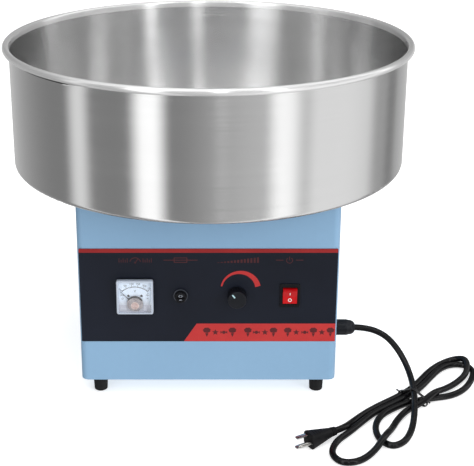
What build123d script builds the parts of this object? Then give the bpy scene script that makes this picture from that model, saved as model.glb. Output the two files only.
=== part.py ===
from build123d import *
import math
import os

# ----------------------------------------------------------------------------
# Cotton candy machine.  Millimetres, +Z up, front faces -Y.
# Origin: on the floor, straight below the axis of the bowl and the spinner.
# ----------------------------------------------------------------------------
os.makedirs("parts", exist_ok=True)

# ---- driving dimensions ----------------------------------------------------
BODY_W, BODY_D = 320.0, 310.0          # housing footprint
BODY_Z0, BODY_Z1 = 24.0, 268.0         # underside and top of the housing
SHEET = 1.2                            # housing sheet
R_CORNER = 9.0                         # vertical corner radius
FRONT_Y = -BODY_D / 2                  # front face of the housing
OVERLAY_T = 0.6                        # printed control panel
OVER_Y = FRONT_Y - OVERLAY_T           # front face of the printed panel
OVER_W, OVER_Z0, OVER_Z1 = 315.0, 78.5, 203.5

CTRL_Z = 141.5                         # row of controls
METER_X, METER_S, METER_OUT = -90.0, 45.0, 8.0
PIVOT_Z = 131.0                        # pivot of the meter's needle
FUSE_X = -34.0
KNOB_X, KNOB_R = 35.0, 12.0
KNOB_ANGLE = 39.0                      # pointer, degrees left of upright
SWITCH_X, SWITCH_W, SWITCH_H = 100.0, 25.0, 31.0
ROCKER_TILT = 12.0                     # half of the rocker's travel

RIM_R, TOP_Z, BEAD_R = 260.0, 430.0, 4.3   # outer edge and top of the bowl
WALL_R, BOWL_T = 252.0, 0.8            # outside of the bowl wall, sheet
BOWL_Z0 = 272.0                        # underside of the bowl
HUB_R, HUB_TOP = 95.0, 294.0           # central opening of the bowl and its lip

SHAFT_R = 6.0
HEAD_R = 77.0                          # spinner head
HEAD_Z0 = 302.0

FOOT_X, FOOT_Y, FOOT_H = 138.0, 133.0, BODY_Z0

GLAND_Y, GLAND_Z, GLAND_OUT = -100.0, 70.0, 189.0
CORD_D = 8.0

RUN = 0.05                             # radial clearance of a shaft in its hole


def save(item, name):
    item.part.label = name
    export_step(item.part, f"parts/{name}.step")


# ============================================================================
# Housing
# ============================================================================
foot_points = [(x, y) for x in (-FOOT_X, FOOT_X) for y in (-FOOT_Y, FOOT_Y)]
rear_screws = [(x, z) for x in (-152.0, 152.0) for z in (40.0, 146.0, 252.0)]

with BuildPart() as housing_shell:
    with BuildSketch(Plane.XY.offset(BODY_Z0)):
        RectangleRounded(BODY_W, BODY_D, R_CORNER)
        RectangleRounded(BODY_W - 2 * SHEET, BODY_D - 2 * SHEET, R_CORNER - SHEET, mode=Mode.SUBTRACT)
    extrude(amount=BODY_Z1 - BODY_Z0)
    fillet(housing_shell.faces().sort_by(Axis.Z)[-1].outer_wire().edges(), 0.7)
    fillet(housing_shell.faces().sort_by(Axis.Z)[0].outer_wire().edges(), 0.7)
    # openings of the front wall for the four controls
    with BuildSketch(Plane.XZ.offset(-FRONT_Y + 1)):
        with Locations((METER_X, CTRL_Z)):
            Circle(19.5)
        with Locations((FUSE_X, CTRL_Z)):
            Circle(6.2)
        with Locations((KNOB_X, CTRL_Z)):
            Circle(3.7)
        with Locations((SWITCH_X, CTRL_Z)):
            Rectangle(22.2, 28.6)
    extrude(amount=-4, mode=Mode.SUBTRACT)
    # rear wall is only a flange that carries the rear panel
    with BuildSketch(Plane.XZ.offset(-BODY_D / 2 - 1)):
        with Locations((0, (BODY_Z0 + BODY_Z1) / 2)):
            RectangleRounded(290, 216, 4)
        with Locations(*rear_screws):
            Circle(2.1)
    extrude(amount=4, mode=Mode.SUBTRACT)
    # cooling slots of the two side walls
    with BuildSketch(Plane.YZ.offset(-170)):
        with Locations((30, 92)):
            with GridLocations(46, 13, 3, 5):
                SlotOverall(34, 4.5)
    extrude(amount=340, mode=Mode.SUBTRACT)
    # cable entry, right-hand wall
    with BuildSketch(Plane.YZ.offset(150)):
        with Locations((GLAND_Y, GLAND_Z)):
            Circle(8.0)
    extrude(amount=15, mode=Mode.SUBTRACT)
save(housing_shell, "housing_shell")

with BuildPart() as rear_panel:
    with BuildSketch(Plane.XZ.offset(-BODY_D / 2)):
        with Locations((0, 146)):
            RectangleRounded(314, 238, 4)
        with Locations(*rear_screws):
            Circle(2.1, mode=Mode.SUBTRACT)
        with Locations((0, 190)):
            with GridLocations(62, 11, 4, 7):
                SlotOverall(48, 4.5, mode=Mode.SUBTRACT)
    extrude(amount=-SHEET)
save(rear_panel, "rear_panel")

with BuildPart() as top_plate:
    with BuildSketch(Plane.XY.offset(BODY_Z1 - SHEET)):
        RectangleRounded(BODY_W - 2 * SHEET - 0.4, BODY_D - 2 * SHEET - 0.4, R_CORNER - SHEET - 0.2)
        Circle(50, mode=Mode.SUBTRACT)
        with GridLocations(146, 40, 2, 2):
            Circle(2.2, mode=Mode.SUBTRACT)
    extrude(amount=SHEET)
    with BuildSketch(Plane.XY.offset(BODY_Z1 - 13)):
        RectangleRounded(BODY_W - 2 * SHEET - 0.4, BODY_D - 2 * SHEET - 0.4, R_CORNER - SHEET - 0.2)
        RectangleRounded(BODY_W - 4 * SHEET - 0.4, BODY_D - 4 * SHEET - 0.4, R_CORNER - 2 * SHEET - 0.2, mode=Mode.SUBTRACT)
    extrude(amount=13 - SHEET)
save(top_plate, "top_plate")

with BuildPart() as base_plate:
    with BuildSketch(Plane.XY.offset(BODY_Z0)):
        RectangleRounded(BODY_W - 2 * SHEET - 0.4, BODY_D - 2 * SHEET - 0.4, R_CORNER - SHEET - 0.2)
        with GridLocations(2 * FOOT_X, 2 * FOOT_Y, 2, 2):
            Circle(2.6, mode=Mode.SUBTRACT)
        with GridLocations(56, 14, 4, 6):
            SlotOverall(40, 5, mode=Mode.SUBTRACT)
    extrude(amount=SHEET)
    with BuildSketch(Plane.XY.offset(BODY_Z0 + SHEET)):
        RectangleRounded(BODY_W - 2 * SHEET - 0.4, BODY_D - 2 * SHEET - 0.4, R_CORNER - SHEET - 0.2)
        RectangleRounded(BODY_W - 4 * SHEET - 0.4, BODY_D - 4 * SHEET - 0.4, R_CORNER - 2 * SHEET - 0.2, mode=Mode.SUBTRACT)
    extrude(amount=12)
save(base_plate, "base_plate")

with BuildPart() as housing_screws:
    with BuildSketch(Plane.XZ.offset(-BODY_D / 2 - SHEET)):
        with Locations(*rear_screws):
            Circle(3.7)
    extrude(amount=-2.2)
    fillet(housing_screws.faces().sort_by(Axis.Y)[-6:].edges(), 1.2)
    with BuildSketch(Plane.XZ.offset(-BODY_D / 2 - SHEET)):
        with Locations(*rear_screws):
            Circle(2.0)
    extrude(amount=9)
    with BuildSketch(Plane.XZ.offset(-BODY_D / 2 - SHEET - 3)):
        with Locations(*rear_screws):
            Rectangle(4.2, 0.9)
            Rectangle(0.9, 4.2)
    extrude(amount=2, mode=Mode.SUBTRACT)

with BuildPart() as rubber_feet:
    with BuildSketch(Plane.XZ.offset(FOOT_Y)) as foot_profile:
        with BuildLine():
            Polyline((FOOT_X + 4.8, 0), (FOOT_X + 7.6, 0), (FOOT_X + 8.4, 0.8), (FOOT_X + 9.6, FOOT_H),
                     (FOOT_X + 2.7, FOOT_H), (FOOT_X + 2.7, 14), (FOOT_X + 4.8, 14), close=True)
        make_face()
    revolve(axis=Axis((FOOT_X, -FOOT_Y, 0), (0, 0, 1)))
    mirror(about=Plane.YZ)
    mirror(about=Plane.XZ)
save(rubber_feet, "rubber_feet")

with BuildPart() as foot_screws:
    with BuildSketch(Plane.XY.offset(10.5)):
        with Locations(*foot_points):
            Circle(4.3)
    extrude(amount=3.5)
    with BuildSketch(Plane.XY.offset(14)):
        with Locations(*foot_points):
            Circle(2.4)
    extrude(amount=17.5)
    with BuildSketch(Plane.XY.offset(BODY_Z0 + SHEET)):
        with Locations(*foot_points):
            RegularPolygon(4.6, 6)
    extrude(amount=4)
    with BuildSketch(Plane.XY.offset(10.5)):
        with Locations(*foot_points):
            Rectangle(5, 1)
            Rectangle(1, 5)
    extrude(amount=1.6, mode=Mode.SUBTRACT)
save(foot_screws, "foot_screws")

with BuildPart() as panel_overlay:
    with BuildSketch(Plane.XZ.offset(-FRONT_Y)):
        with Locations((0, (OVER_Z0 + OVER_Z1) / 2)):
            RectangleRounded(OVER_W, OVER_Z1 - OVER_Z0, 1.5)
        with Locations((METER_X, CTRL_Z)):
            Circle(19.5, mode=Mode.SUBTRACT)
        with Locations((FUSE_X, CTRL_Z)):
            Circle(6.2, mode=Mode.SUBTRACT)
        with Locations((KNOB_X, CTRL_Z)):
            Circle(3.7, mode=Mode.SUBTRACT)
        with Locations((SWITCH_X, CTRL_Z)):
            Rectangle(22.2, 28.6, mode=Mode.SUBTRACT)
    extrude(amount=OVERLAY_T)
save(panel_overlay, "panel_overlay")

# ============================================================================
# Voltmeter: square flush-mounting meter with a moving needle
# ============================================================================
with BuildPart() as meter_case:
    with BuildSketch(Plane.XZ.offset(-OVER_Y)):
        with Locations((METER_X, CTRL_Z)):
            RectangleRounded(METER_S, METER_S, 2.5)
            Circle(17.6, mode=Mode.SUBTRACT)
    extrude(amount=2.4)
    with BuildSketch(Plane.XZ.offset(-OVER_Y)):
        with Locations((METER_X, CTRL_Z)):
            Circle(19.2)
            Circle(17.6, mode=Mode.SUBTRACT)
    extrude(amount=-30)
    with BuildSketch(Plane.XZ.offset(-OVER_Y - 30)):
        with Locations((METER_X, CTRL_Z)):
            Circle(19.2)
        with Locations((METER_X - 9, CTRL_Z), (METER_X + 9, CTRL_Z)):
            Circle(2.1, mode=Mode.SUBTRACT)
    extrude(amount=-2)
save(meter_case, "meter_case")

with BuildPart() as meter_cover:
    with BuildSketch(Plane.XZ.offset(-OVER_Y + 2.4)):
        with Locations((METER_X, CTRL_Z)):
            RectangleRounded(METER_S, METER_S, 2.5)
    extrude(amount=METER_OUT - 2.4)
    fillet(meter_cover.faces().sort_by(Axis.Y)[0].edges(), 1.6)
    with BuildSketch(Plane.XZ.offset(-OVER_Y + 2.4)):
        with Locations((METER_X, CTRL_Z)):
            RectangleRounded(METER_S - 3, METER_S - 3, 1.5)
    extrude(amount=METER_OUT - 2.4 - 1.5, mode=Mode.SUBTRACT)
save(meter_cover, "meter_cover")

with BuildPart() as meter_dial:
    with BuildSketch(Plane.XZ.offset(-OVER_Y + 2.4)):
        with Locations((METER_X, CTRL_Z)):
            RectangleRounded(41, 41, 1.0)
        with Locations((METER_X, PIVOT_Z)):
            Circle(3.0, mode=Mode.SUBTRACT)
        with Locations((METER_X - 8, CTRL_Z + 1), (METER_X + 8, CTRL_Z + 1)):
            Circle(0.9, mode=Mode.SUBTRACT)
    extrude(amount=0.6)
save(meter_dial, "meter_dial")

with BuildPart() as meter_dial_screws:
    with BuildSketch(Plane.XZ.offset(-OVER_Y + 3.0)):
        with Locations((METER_X - 8, CTRL_Z + 1), (METER_X + 8, CTRL_Z + 1)):
            Circle(1.5)
            Rectangle(3.2, 0.4, rotation=35, mode=Mode.SUBTRACT)
    extrude(amount=0.5)
    with BuildSketch(Plane.XZ.offset(-OVER_Y + 3.0)):
        with Locations((METER_X - 8, CTRL_Z + 1), (METER_X + 8, CTRL_Z + 1)):
            Circle(0.8)
    extrude(amount=-6)
save(meter_dial_screws, "meter_dial_screws")

with BuildPart() as meter_movement:
    # ring magnet round the moving coil, and its bridge across the barrel
    with BuildSketch(Plane.XZ.offset(-OVER_Y - 4)):
        with Locations((METER_X, PIVOT_Z)):
            Circle(6.6)
            Circle(4.6, mode=Mode.SUBTRACT)
    extrude(amount=-12)
    with BuildSketch(Plane.XZ.offset(-OVER_Y - 16)):
        with Locations((METER_X, PIVOT_Z)):
            Circle(6.6)
            Circle(0.6, mode=Mode.SUBTRACT)
        with Locations((METER_X, CTRL_Z + 2)):
            Rectangle(22, 15)
    extrude(amount=-3)
    with BuildSketch(Plane.XZ.offset(-OVER_Y - 3.2)):
        with Locations((METER_X - 8, CTRL_Z + 1), (METER_X + 8, CTRL_Z + 1)):
            Circle(2.4)
            Circle(0.9, mode=Mode.SUBTRACT)
    extrude(amount=-12.8)
save(meter_movement, "meter_movement")

with BuildPart() as meter_terminals:
    with BuildSketch(Plane.XZ.offset(-OVER_Y - 27)):
        with Locations((METER_X - 9, CTRL_Z), (METER_X + 9, CTRL_Z)):
            Circle(2.0)
    extrude(amount=-18)
    with BuildSketch(Plane.XZ.offset(-OVER_Y - 32)):
        with Locations((METER_X - 9, CTRL_Z), (METER_X + 9, CTRL_Z)):
            RegularPolygon(4.0, 6)
    extrude(amount=-3)

needle_plane = Plane(origin=(METER_X, -(-OVER_Y + 4.4), PIVOT_Z), x_dir=(math.cos(math.radians(45)), 0, math.sin(math.radians(45))), z_dir=(0, -1, 0))
with BuildPart() as meter_needle:
    # pointer, hub and counterweight; local +Y is the pointing direction
    with BuildSketch(needle_plane):
        with BuildLine():
            Polyline((-0.55, 0), (-0.22, 24.5), (0, 25.5), (0.22, 24.5), (0.55, 0), close=True)
        make_face()
        Circle(2.4)
        with Locations((0, -4.2)):
            RectangleRounded(2.6, 4.6, 0.6)
    extrude(amount=0.5)
    with BuildSketch(needle_plane):
        Circle(0.5)
    extrude(amount=-24.5)
    with BuildSketch(needle_plane.offset(-9.0)):
        Circle(4.1)
    extrude(amount=-10)
save(meter_needle, "meter_needle")

# ============================================================================
# Fuse holder with its pull-out cap and cartridge
# ============================================================================
with BuildPart() as fuse_holder_body:
    with BuildSketch(Plane.XZ.offset(-OVER_Y)):
        with Locations((FUSE_X, CTRL_Z)):
            Circle(8.7)
    extrude(amount=2.2)
    fillet(fuse_holder_body.faces().sort_by(Axis.Y)[0].edges(), 0.8)
    with BuildSketch(Plane.XZ.offset(-OVER_Y)):
        with Locations((FUSE_X, CTRL_Z)):
            Circle(6.0)
    extrude(amount=-38)
    with BuildSketch(Plane.XZ.offset(-OVER_Y + 2.2)):
        with Locations((FUSE_X, CTRL_Z)):
            Circle(5.3)
    extrude(amount=-12.2, mode=Mode.SUBTRACT)
    with BuildSketch(Plane.XZ.offset(-OVER_Y + 2.2)):
        with Locations((FUSE_X, CTRL_Z)):
            Circle(3.6)
    extrude(amount=-36.2, mode=Mode.SUBTRACT)
    with BuildSketch(Plane.XZ.offset(-OVER_Y - 38)):
        with Locations((FUSE_X, CTRL_Z)):
            Rectangle(5.0, 0.8)
    extrude(amount=-9)
save(fuse_holder_body, "fuse_holder_body")

with BuildPart() as fuse_cap:
    with BuildSketch(Plane.XZ.offset(-OVER_Y + 2.6)):
        with Locations((FUSE_X, CTRL_Z)):
            Circle(6.8)
    extrude(amount=5.6)
    fillet(fuse_cap.faces().sort_by(Axis.Y)[0].edges(), 1.0)
    with BuildSketch(Plane.XZ.offset(-OVER_Y + 8.2)):
        with Locations((FUSE_X, CTRL_Z)):
            Rectangle(9.5, 1.5)
    extrude(amount=-1.4, mode=Mode.SUBTRACT)
    with BuildSketch(Plane.XZ.offset(-OVER_Y + 2.6)):
        with Locations((FUSE_X, CTRL_Z)):
            Circle(4.9)
    extrude(amount=-10.6)
    with BuildSketch(Plane.XZ.offset(-OVER_Y - 8)):
        with Locations((FUSE_X, CTRL_Z)):
            Circle(3.3)
    extrude(amount=9.5, mode=Mode.SUBTRACT)
save(fuse_cap, "fuse_cap")

with BuildPart() as fuse_cartridge:
    with BuildSketch(Plane.XZ.offset(-OVER_Y + 1.5)):
        with Locations((FUSE_X, CTRL_Z)):
            Circle(3.2)
    extrude(amount=-6)
    with BuildSketch(Plane.XZ.offset(-OVER_Y - 4.5)):
        with Locations((FUSE_X, CTRL_Z)):
            Circle(3.0)
    extrude(amount=-18)
    with BuildSketch(Plane.XZ.offset(-OVER_Y - 22.5)):
        with Locations((FUSE_X, CTRL_Z)):
            Circle(3.2)
    extrude(amount=-6)
save(fuse_cartridge, "fuse_cartridge")

# ============================================================================
# Heat regulator: potentiometer, knob and pointer
# ============================================================================
with BuildPart() as potentiometer_body:
    with BuildSketch(Plane.XZ.offset(-FRONT_Y - SHEET)):
        with Locations((KNOB_X, CTRL_Z)):
            Circle(12)
    extrude(amount=-10.5)
    fillet(potentiometer_body.faces().sort_by(Axis.Y)[-1].edges(), 1.0)
    with BuildSketch(Plane.XZ.offset(-FRONT_Y - SHEET)):
        with Locations((KNOB_X, CTRL_Z)):
            Circle(3.5)
    extrude(amount=4.2)
    with BuildSketch(Plane.XZ.offset(-OVER_Y + 4)):
        with Locations((KNOB_X, CTRL_Z)):
            Circle(3.0 + RUN)
    extrude(amount=-14, mode=Mode.SUBTRACT)
    with BuildSketch(Plane.XZ.offset(-FRONT_Y - SHEET - 5)):
        with Locations((KNOB_X - 5, CTRL_Z - 14), (KNOB_X, CTRL_Z - 14), (KNOB_X + 5, CTRL_Z - 14)):
            Rectangle(1.6, 7)
    extrude(amount=-1)
save(potentiometer_body, "potentiometer_body")

with BuildPart() as potentiometer_shaft:
    with BuildSketch(Plane.XZ.offset(-OVER_Y + 12)):
        with Locations((KNOB_X, CTRL_Z)):
            Circle(3.0)
    extrude(amount=-21)
save(potentiometer_shaft, "potentiometer_shaft")

with BuildPart() as temperature_knob:
    with BuildSketch(Plane.XZ.offset(-OVER_Y + 0.6)):
        with Locations((KNOB_X, CTRL_Z)):
            Circle(KNOB_R)
    extrude(amount=14.5, taper=3)
    fillet(temperature_knob.faces().sort_by(Axis.Y)[0].edges(), 1.2)
    # grip flutes round the skirt
    with BuildSketch(Plane.XZ.offset(-OVER_Y + 3.0)):
        with Locations((KNOB_X, CTRL_Z)):
            with PolarLocations(KNOB_R + 0.55, 24):
                Circle(1.0)
    extrude(amount=13, mode=Mode.SUBTRACT)
    # recess for the fixing nut, then the bore of the shaft
    with BuildSketch(Plane.XZ.offset(-OVER_Y + 0.6)):
        with Locations((KNOB_X, CTRL_Z)):
            Circle(8.0)
    extrude(amount=3.4, mode=Mode.SUBTRACT)
    with BuildSketch(Plane.XZ.offset(-OVER_Y + 0.6)):
        with Locations((KNOB_X, CTRL_Z)):
            Circle(3.0 + RUN)
    extrude(amount=11.6, mode=Mode.SUBTRACT)
    # seat of the pointer in the front face
    with BuildSketch(Plane(origin=(KNOB_X, OVER_Y - 15.1, CTRL_Z), x_dir=(math.cos(math.radians(KNOB_ANGLE)), 0, math.sin(math.radians(KNOB_ANGLE))), z_dir=(0, -1, 0))):
        with Locations((0, 6.9)):
            RectangleRounded(1.7, 5.4, 0.7)
    extrude(amount=-0.8, mode=Mode.SUBTRACT)
save(temperature_knob, "temperature_knob")

with BuildPart() as knob_pointer:
    with BuildSketch(Plane(origin=(KNOB_X, OVER_Y - 14.3, CTRL_Z), x_dir=(math.cos(math.radians(KNOB_ANGLE)), 0, math.sin(math.radians(KNOB_ANGLE))), z_dir=(0, -1, 0))):
        with Locations((0, 6.9)):
            RectangleRounded(1.66, 5.36, 0.68)
    extrude(amount=0.95)
save(knob_pointer, "knob_pointer")

# ============================================================================
# Rocker switch
# ============================================================================
with BuildPart() as switch_body:
    with BuildSketch(Plane.XZ.offset(-OVER_Y)):
        with Locations((SWITCH_X, CTRL_Z)):
            RectangleRounded(SWITCH_W, SWITCH_H, 2.0)
    extrude(amount=2.0)
    fillet(switch_body.faces().sort_by(Axis.Y)[0].edges(), 0.8)
    with BuildSketch(Plane.XZ.offset(-OVER_Y)):
        with Locations((SWITCH_X, CTRL_Z)):
            Rectangle(21.6, 28.0)
    extrude(amount=-20)
    with BuildSketch(Plane.XZ.offset(-OVER_Y + 2.0)):
        with Locations((SWITCH_X, CTRL_Z)):
            Rectangle(18.2, 22.4)
    extrude(amount=-12.5, mode=Mode.SUBTRACT)
    # trunnions of the rocker: a blind bearing hole in each side wall
    with BuildSketch(Plane.YZ.offset(SWITCH_X - 10.2)):
        with Locations((OVER_Y + 1.4, CTRL_Z)):
            Circle(1.5 + RUN)
    extrude(amount=20.4, mode=Mode.SUBTRACT)
save(switch_body, "switch_body")

tilt = math.radians(ROCKER_TILT)
rocker_plane = Plane(origin=(SWITCH_X, OVER_Y + 1.4, CTRL_Z), x_dir=(0, -math.sin(tilt), math.cos(tilt)), z_dir=(1, 0, 0))
with BuildPart() as switch_rocker:
    # local +X runs up the rocker and local +Y out of the panel; the section is
    # drawn about the pivot and pushed out both ways along the pivot's axis
    with BuildSketch(rocker_plane) as rocker_section:
        with BuildLine():
            Polyline((-9.3, 5.6), (0, 3.7), (9.3, 5.6), (10.3, 2.6), (9.6, -2.2), (5.0, -6.0),
                     (-5.0, -6.0), (-9.6, -2.2), (-10.3, 2.6), close=True)
        make_face()
    extrude(amount=8.7, both=True)
    with BuildSketch(rocker_plane):
        Circle(1.5)
    extrude(amount=10.0, both=True)
save(switch_rocker, "switch_rocker")

with BuildPart() as rear_terminals:
    with BuildSketch(Plane.XZ.offset(-OVER_Y - 20)):
        with Locations((SWITCH_X, CTRL_Z)):
            with GridLocations(11, 9.5, 2, 2):
                Rectangle(0.8, 6.3)
    extrude(amount=-9)
    add(meter_terminals.part)
save(rear_terminals, "rear_terminals")

with BuildPart() as panel_nuts:
    # fixing nuts of the fuse holder, the potentiometer and the cable gland
    with BuildSketch(Plane.XZ.offset(-FRONT_Y - SHEET)):
        with Locations((FUSE_X, CTRL_Z)):
            RegularPolygon(10.0, 6)
            Circle(6.05, mode=Mode.SUBTRACT)
    extrude(amount=-4)
    with BuildSketch(Plane.XZ.offset(-OVER_Y)):
        with Locations((KNOB_X, CTRL_Z)):
            RegularPolygon(5.8, 6)
            Circle(3.55, mode=Mode.SUBTRACT)
    extrude(amount=2)
    with BuildSketch(Plane.YZ.offset(BODY_W / 2 - SHEET)):
        with Locations((GLAND_Y, GLAND_Z)):
            RegularPolygon(12.5, 6)
            Circle(7.85, mode=Mode.SUBTRACT)
    extrude(amount=-4)
save(panel_nuts, "panel_nuts")

# ============================================================================
# Cable gland
# ============================================================================
with BuildPart() as gland_body:
    with BuildSketch(Plane.YZ.offset(BODY_W / 2)):
        with Locations((GLAND_Y, GLAND_Z)):
            RegularPolygon(11.3, 6)
    extrude(amount=4.5)
    chamfer(gland_body.faces().sort_by(Axis.X)[-1].edges(), 0.6)
    with BuildSketch(Plane.YZ.offset(BODY_W / 2 - 9)):
        with Locations((GLAND_Y, GLAND_Z)):
            Circle(7.8)
    extrude(amount=20)
    with BuildSketch(Plane.YZ.offset(BODY_W / 2 - 9)):
        with Locations((GLAND_Y, GLAND_Z)):
            Circle(5.2)
    extrude(amount=16, mode=Mode.SUBTRACT)
save(gland_body, "gland_body")

with BuildPart() as gland_dome_nut:
    with BuildSketch(Plane.XZ.offset(-GLAND_Y)):
        with BuildLine():
            Polyline((BODY_W / 2 + 4.6, GLAND_Z + 7.85), (BODY_W / 2 + 4.6, GLAND_Z + 10.2),
                     (BODY_W / 2 + 18, GLAND_Z + 10.2), (GLAND_OUT - 7.0, GLAND_Z + 9.2))
            l2 = ThreePointArc((GLAND_OUT - 7.0, GLAND_Z + 9.2), (GLAND_OUT - 1.8, GLAND_Z + 7.3), (GLAND_OUT, GLAND_Z + 5.0))
            Polyline((GLAND_OUT, GLAND_Z + 5.0), (GLAND_OUT, GLAND_Z + 4.4), (GLAND_OUT - 9, GLAND_Z + 4.4),
                     (GLAND_OUT - 9, GLAND_Z), (GLAND_OUT - 15, GLAND_Z), (GLAND_OUT - 15, GLAND_Z + 7.85), (BODY_W / 2 + 4.6, GLAND_Z + 7.85))
        make_face()
    revolve(axis=Axis((0, GLAND_Y, GLAND_Z), (1, 0, 0)))
    # grip flats of the nut
    with BuildSketch(Plane.YZ.offset(BODY_W / 2 + 4.6)):
        with Locations((GLAND_Y, GLAND_Z)):
            with PolarLocations(10.75, 12):
                Circle(1.3)
    extrude(amount=12, mode=Mode.SUBTRACT)
save(gland_dome_nut, "gland_dome_nut")

# ============================================================================
# Mains lead: free stretch, tied hank, tie and plug
# ============================================================================
# route of the stretch from the gland down to the tied hank
cord_route = [
    (GLAND_OUT - 9, GLAND_Y, GLAND_Z),
    (203.0, GLAND_Y, GLAND_Z),
    (227.8, -101.0, 60.4),
    (243.6, -107.1, 45.1),
    (254.1, -120.6, 29.8),
    (258.8, -141.1, 18.0),
    (258.5, -157.0, 14.2),
]


def corner_radii(points):
    radii = []
    for a, b, c in zip(points[:-2], points[1:-1], points[2:]):
        va, vb = Vector(*b) - Vector(*a), Vector(*c) - Vector(*b)
        half = math.radians(va.get_angle(vb)) / 2
        radii.append(0.45 * min(va.length, vb.length) / math.tan(half))
    return radii


cord_radii = corner_radii(cord_route)
print("cord arc radii", [round(r, 1) for r in cord_radii])

with BuildPart() as power_cord:
    with BuildLine() as cord_line:
        FilletPolyline(*cord_route, radius=cord_radii)
    with BuildSketch(Plane(origin=cord_route[0], z_dir=Vector(*cord_route[1]) - Vector(*cord_route[0]))):
        Circle(CORD_D / 2)
    sweep()
cord_len = cord_line.wires()[0].length if cord_line.wires() else sum(e.length for e in cord_line.edges())
print("cord tube length", round(cord_len, 1), "volume", round(power_cord.part.volume, 1), "section x length", round(math.pi * 16 * cord_len, 1))
save(power_cord, "power_cord")

TIE = (257.0, -168.0)                   # middle of the tie
TIE_DIR = (0.667, 0.745)                # along the bundle
TIE_W, TIE_H = 41.5, 17.6               # bundle that the tie holds
PLUG = (150.0, -252.0, 10.5)            # centre of the plug's rear face
PLUG_DIR = (-0.867, -0.498, 0)
PLUG_LEN = 38.0
plug_plane = Plane(origin=PLUG, x_dir=(0.498, -0.867, 0), z_dir=PLUG_DIR)
tie_plane = Plane(origin=(TIE[0] - 3 * TIE_DIR[0], TIE[1] - 3 * TIE_DIR[1], 0), x_dir=(-TIE_DIR[1], TIE_DIR[0], 0), z_dir=(TIE_DIR[0], TIE_DIR[1], 0))

with BuildPart() as cord_tie:
    with BuildSketch(tie_plane):
        with Locations((0, TIE_H / 2 + 1.0)):
            RectangleRounded(TIE_W + 2.0, TIE_H + 2.0, 4.5)
            RectangleRounded(TIE_W, TIE_H, 3.5, mode=Mode.SUBTRACT)
    extrude(amount=6)
    with BuildSketch(tie_plane.offset(2)):
        with Locations((-TIE_W / 2 - 4.5, 7)):
            RectangleRounded(8, 3, 1.0)
        with Locations((TIE_W / 2 + 4.5, 7)):
            RectangleRounded(8, 3, 1.0)
    extrude(amount=2)
save(cord_tie, "cord_tie")

with BuildPart() as cord_hank:
    with BuildSketch(Plane.XY):
        with Locations((310, -122)):
            Ellipse(73, 36, rotation=48)
        with Locations((193, -240)):
            Ellipse(91, 38, rotation=53)
        with Locations((226, -231)):
            Ellipse(54, 36, rotation=65)
    extrude(amount=17)
    # the bundle is narrow where the tie goes round it
    with BuildSketch(tie_plane.offset(-4)):
        with Locations((-75 - TIE_W / 2 + 0.2, 10), (75 + TIE_W / 2 - 0.2, 10)):
            Rectangle(150, 40)
    extrude(amount=14, mode=Mode.SUBTRACT)
    with BuildSketch(tie_plane.offset(-10)):
        with Locations((0, TIE_H / 2 + 1.0)):
            RectangleRounded(TIE_W - 0.4, TIE_H - 0.4, 3.3)
    extrude(amount=26)
    with BuildSketch(tie_plane.offset(-0.1)):
        with Locations((0, TIE_H / 2 + 1.0)):
            Rectangle(TIE_W + 60, TIE_H + 60)
            RectangleRounded(TIE_W - 0.4, TIE_H - 0.4, 3.3, mode=Mode.SUBTRACT)
    extrude(amount=6.2, mode=Mode.SUBTRACT)
    # channel of the free stretch, which ends against the hank
    with BuildSketch(Plane(origin=cord_route[-1], z_dir=Vector(*cord_route[-2]) - Vector(*cord_route[-1]))):
        Circle(CORD_D / 2 + 0.6)
    extrude(amount=60, mode=Mode.SUBTRACT)
    with BuildSketch(Plane(origin=cord_route[-1], z_dir=Vector(*cord_route[-1]) - Vector(*cord_route[-2]))):
        Circle(CORD_D / 2)
    extrude(amount=12)
    # room for the plug, whose rear face meets the hank
    with BuildSketch(plug_plane):
        Rectangle(15.5, 60)
    with BuildSketch(plug_plane.offset(60)):
        Rectangle(34, 60)
    loft(mode=Mode.SUBTRACT)
save(cord_hank, "cord_hank")

with BuildPart() as plug_body:
    with BuildSketch(plug_plane):
        Circle(5.2)
    with BuildSketch(plug_plane.offset(15)):
        Circle(6.9)
    loft()
    with BuildSketch(plug_plane.offset(14)):
        RectangleRounded(16, 14, 4)
    with BuildSketch(plug_plane.offset(PLUG_LEN)):
        RectangleRounded(25, 20.4, 4)
    loft()
    fillet(plug_body.faces().filter_by(lambda f: abs(f.normal_at().dot(Vector(*PLUG_DIR)) - 1) < 0.01).edges(), 1.0)
    # pockets that the pins are moulded into
    with BuildSketch(plug_plane.offset(PLUG_LEN)):
        with Locations((-6.35, 2.5), (6.35, 2.5)):
            Rectangle(1.6, 6.4)
        with Locations((0, -6.0)):
            Circle(2.42)
    extrude(amount=-10, mode=Mode.SUBTRACT)
save(plug_body, "plug_body")

with BuildPart() as plug_pins:
    with BuildSketch(plug_plane.offset(PLUG_LEN - 10)):
        with Locations((-6.35, 2.5), (6.35, 2.5)):
            Rectangle(1.5, 6.3)
    extrude(amount=26)
    with BuildSketch(plug_plane.offset(PLUG_LEN - 10)):
        with Locations((0, -6.0)):
            Circle(2.38)
    extrude(amount=28)
    fillet(plug_pins.edges().filter_by(GeomType.CIRCLE).sort_by(lambda e: -(e.center().dot(Vector(*PLUG_DIR))))[0], 1.6)
save(plug_pins, "plug_pins")

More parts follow.
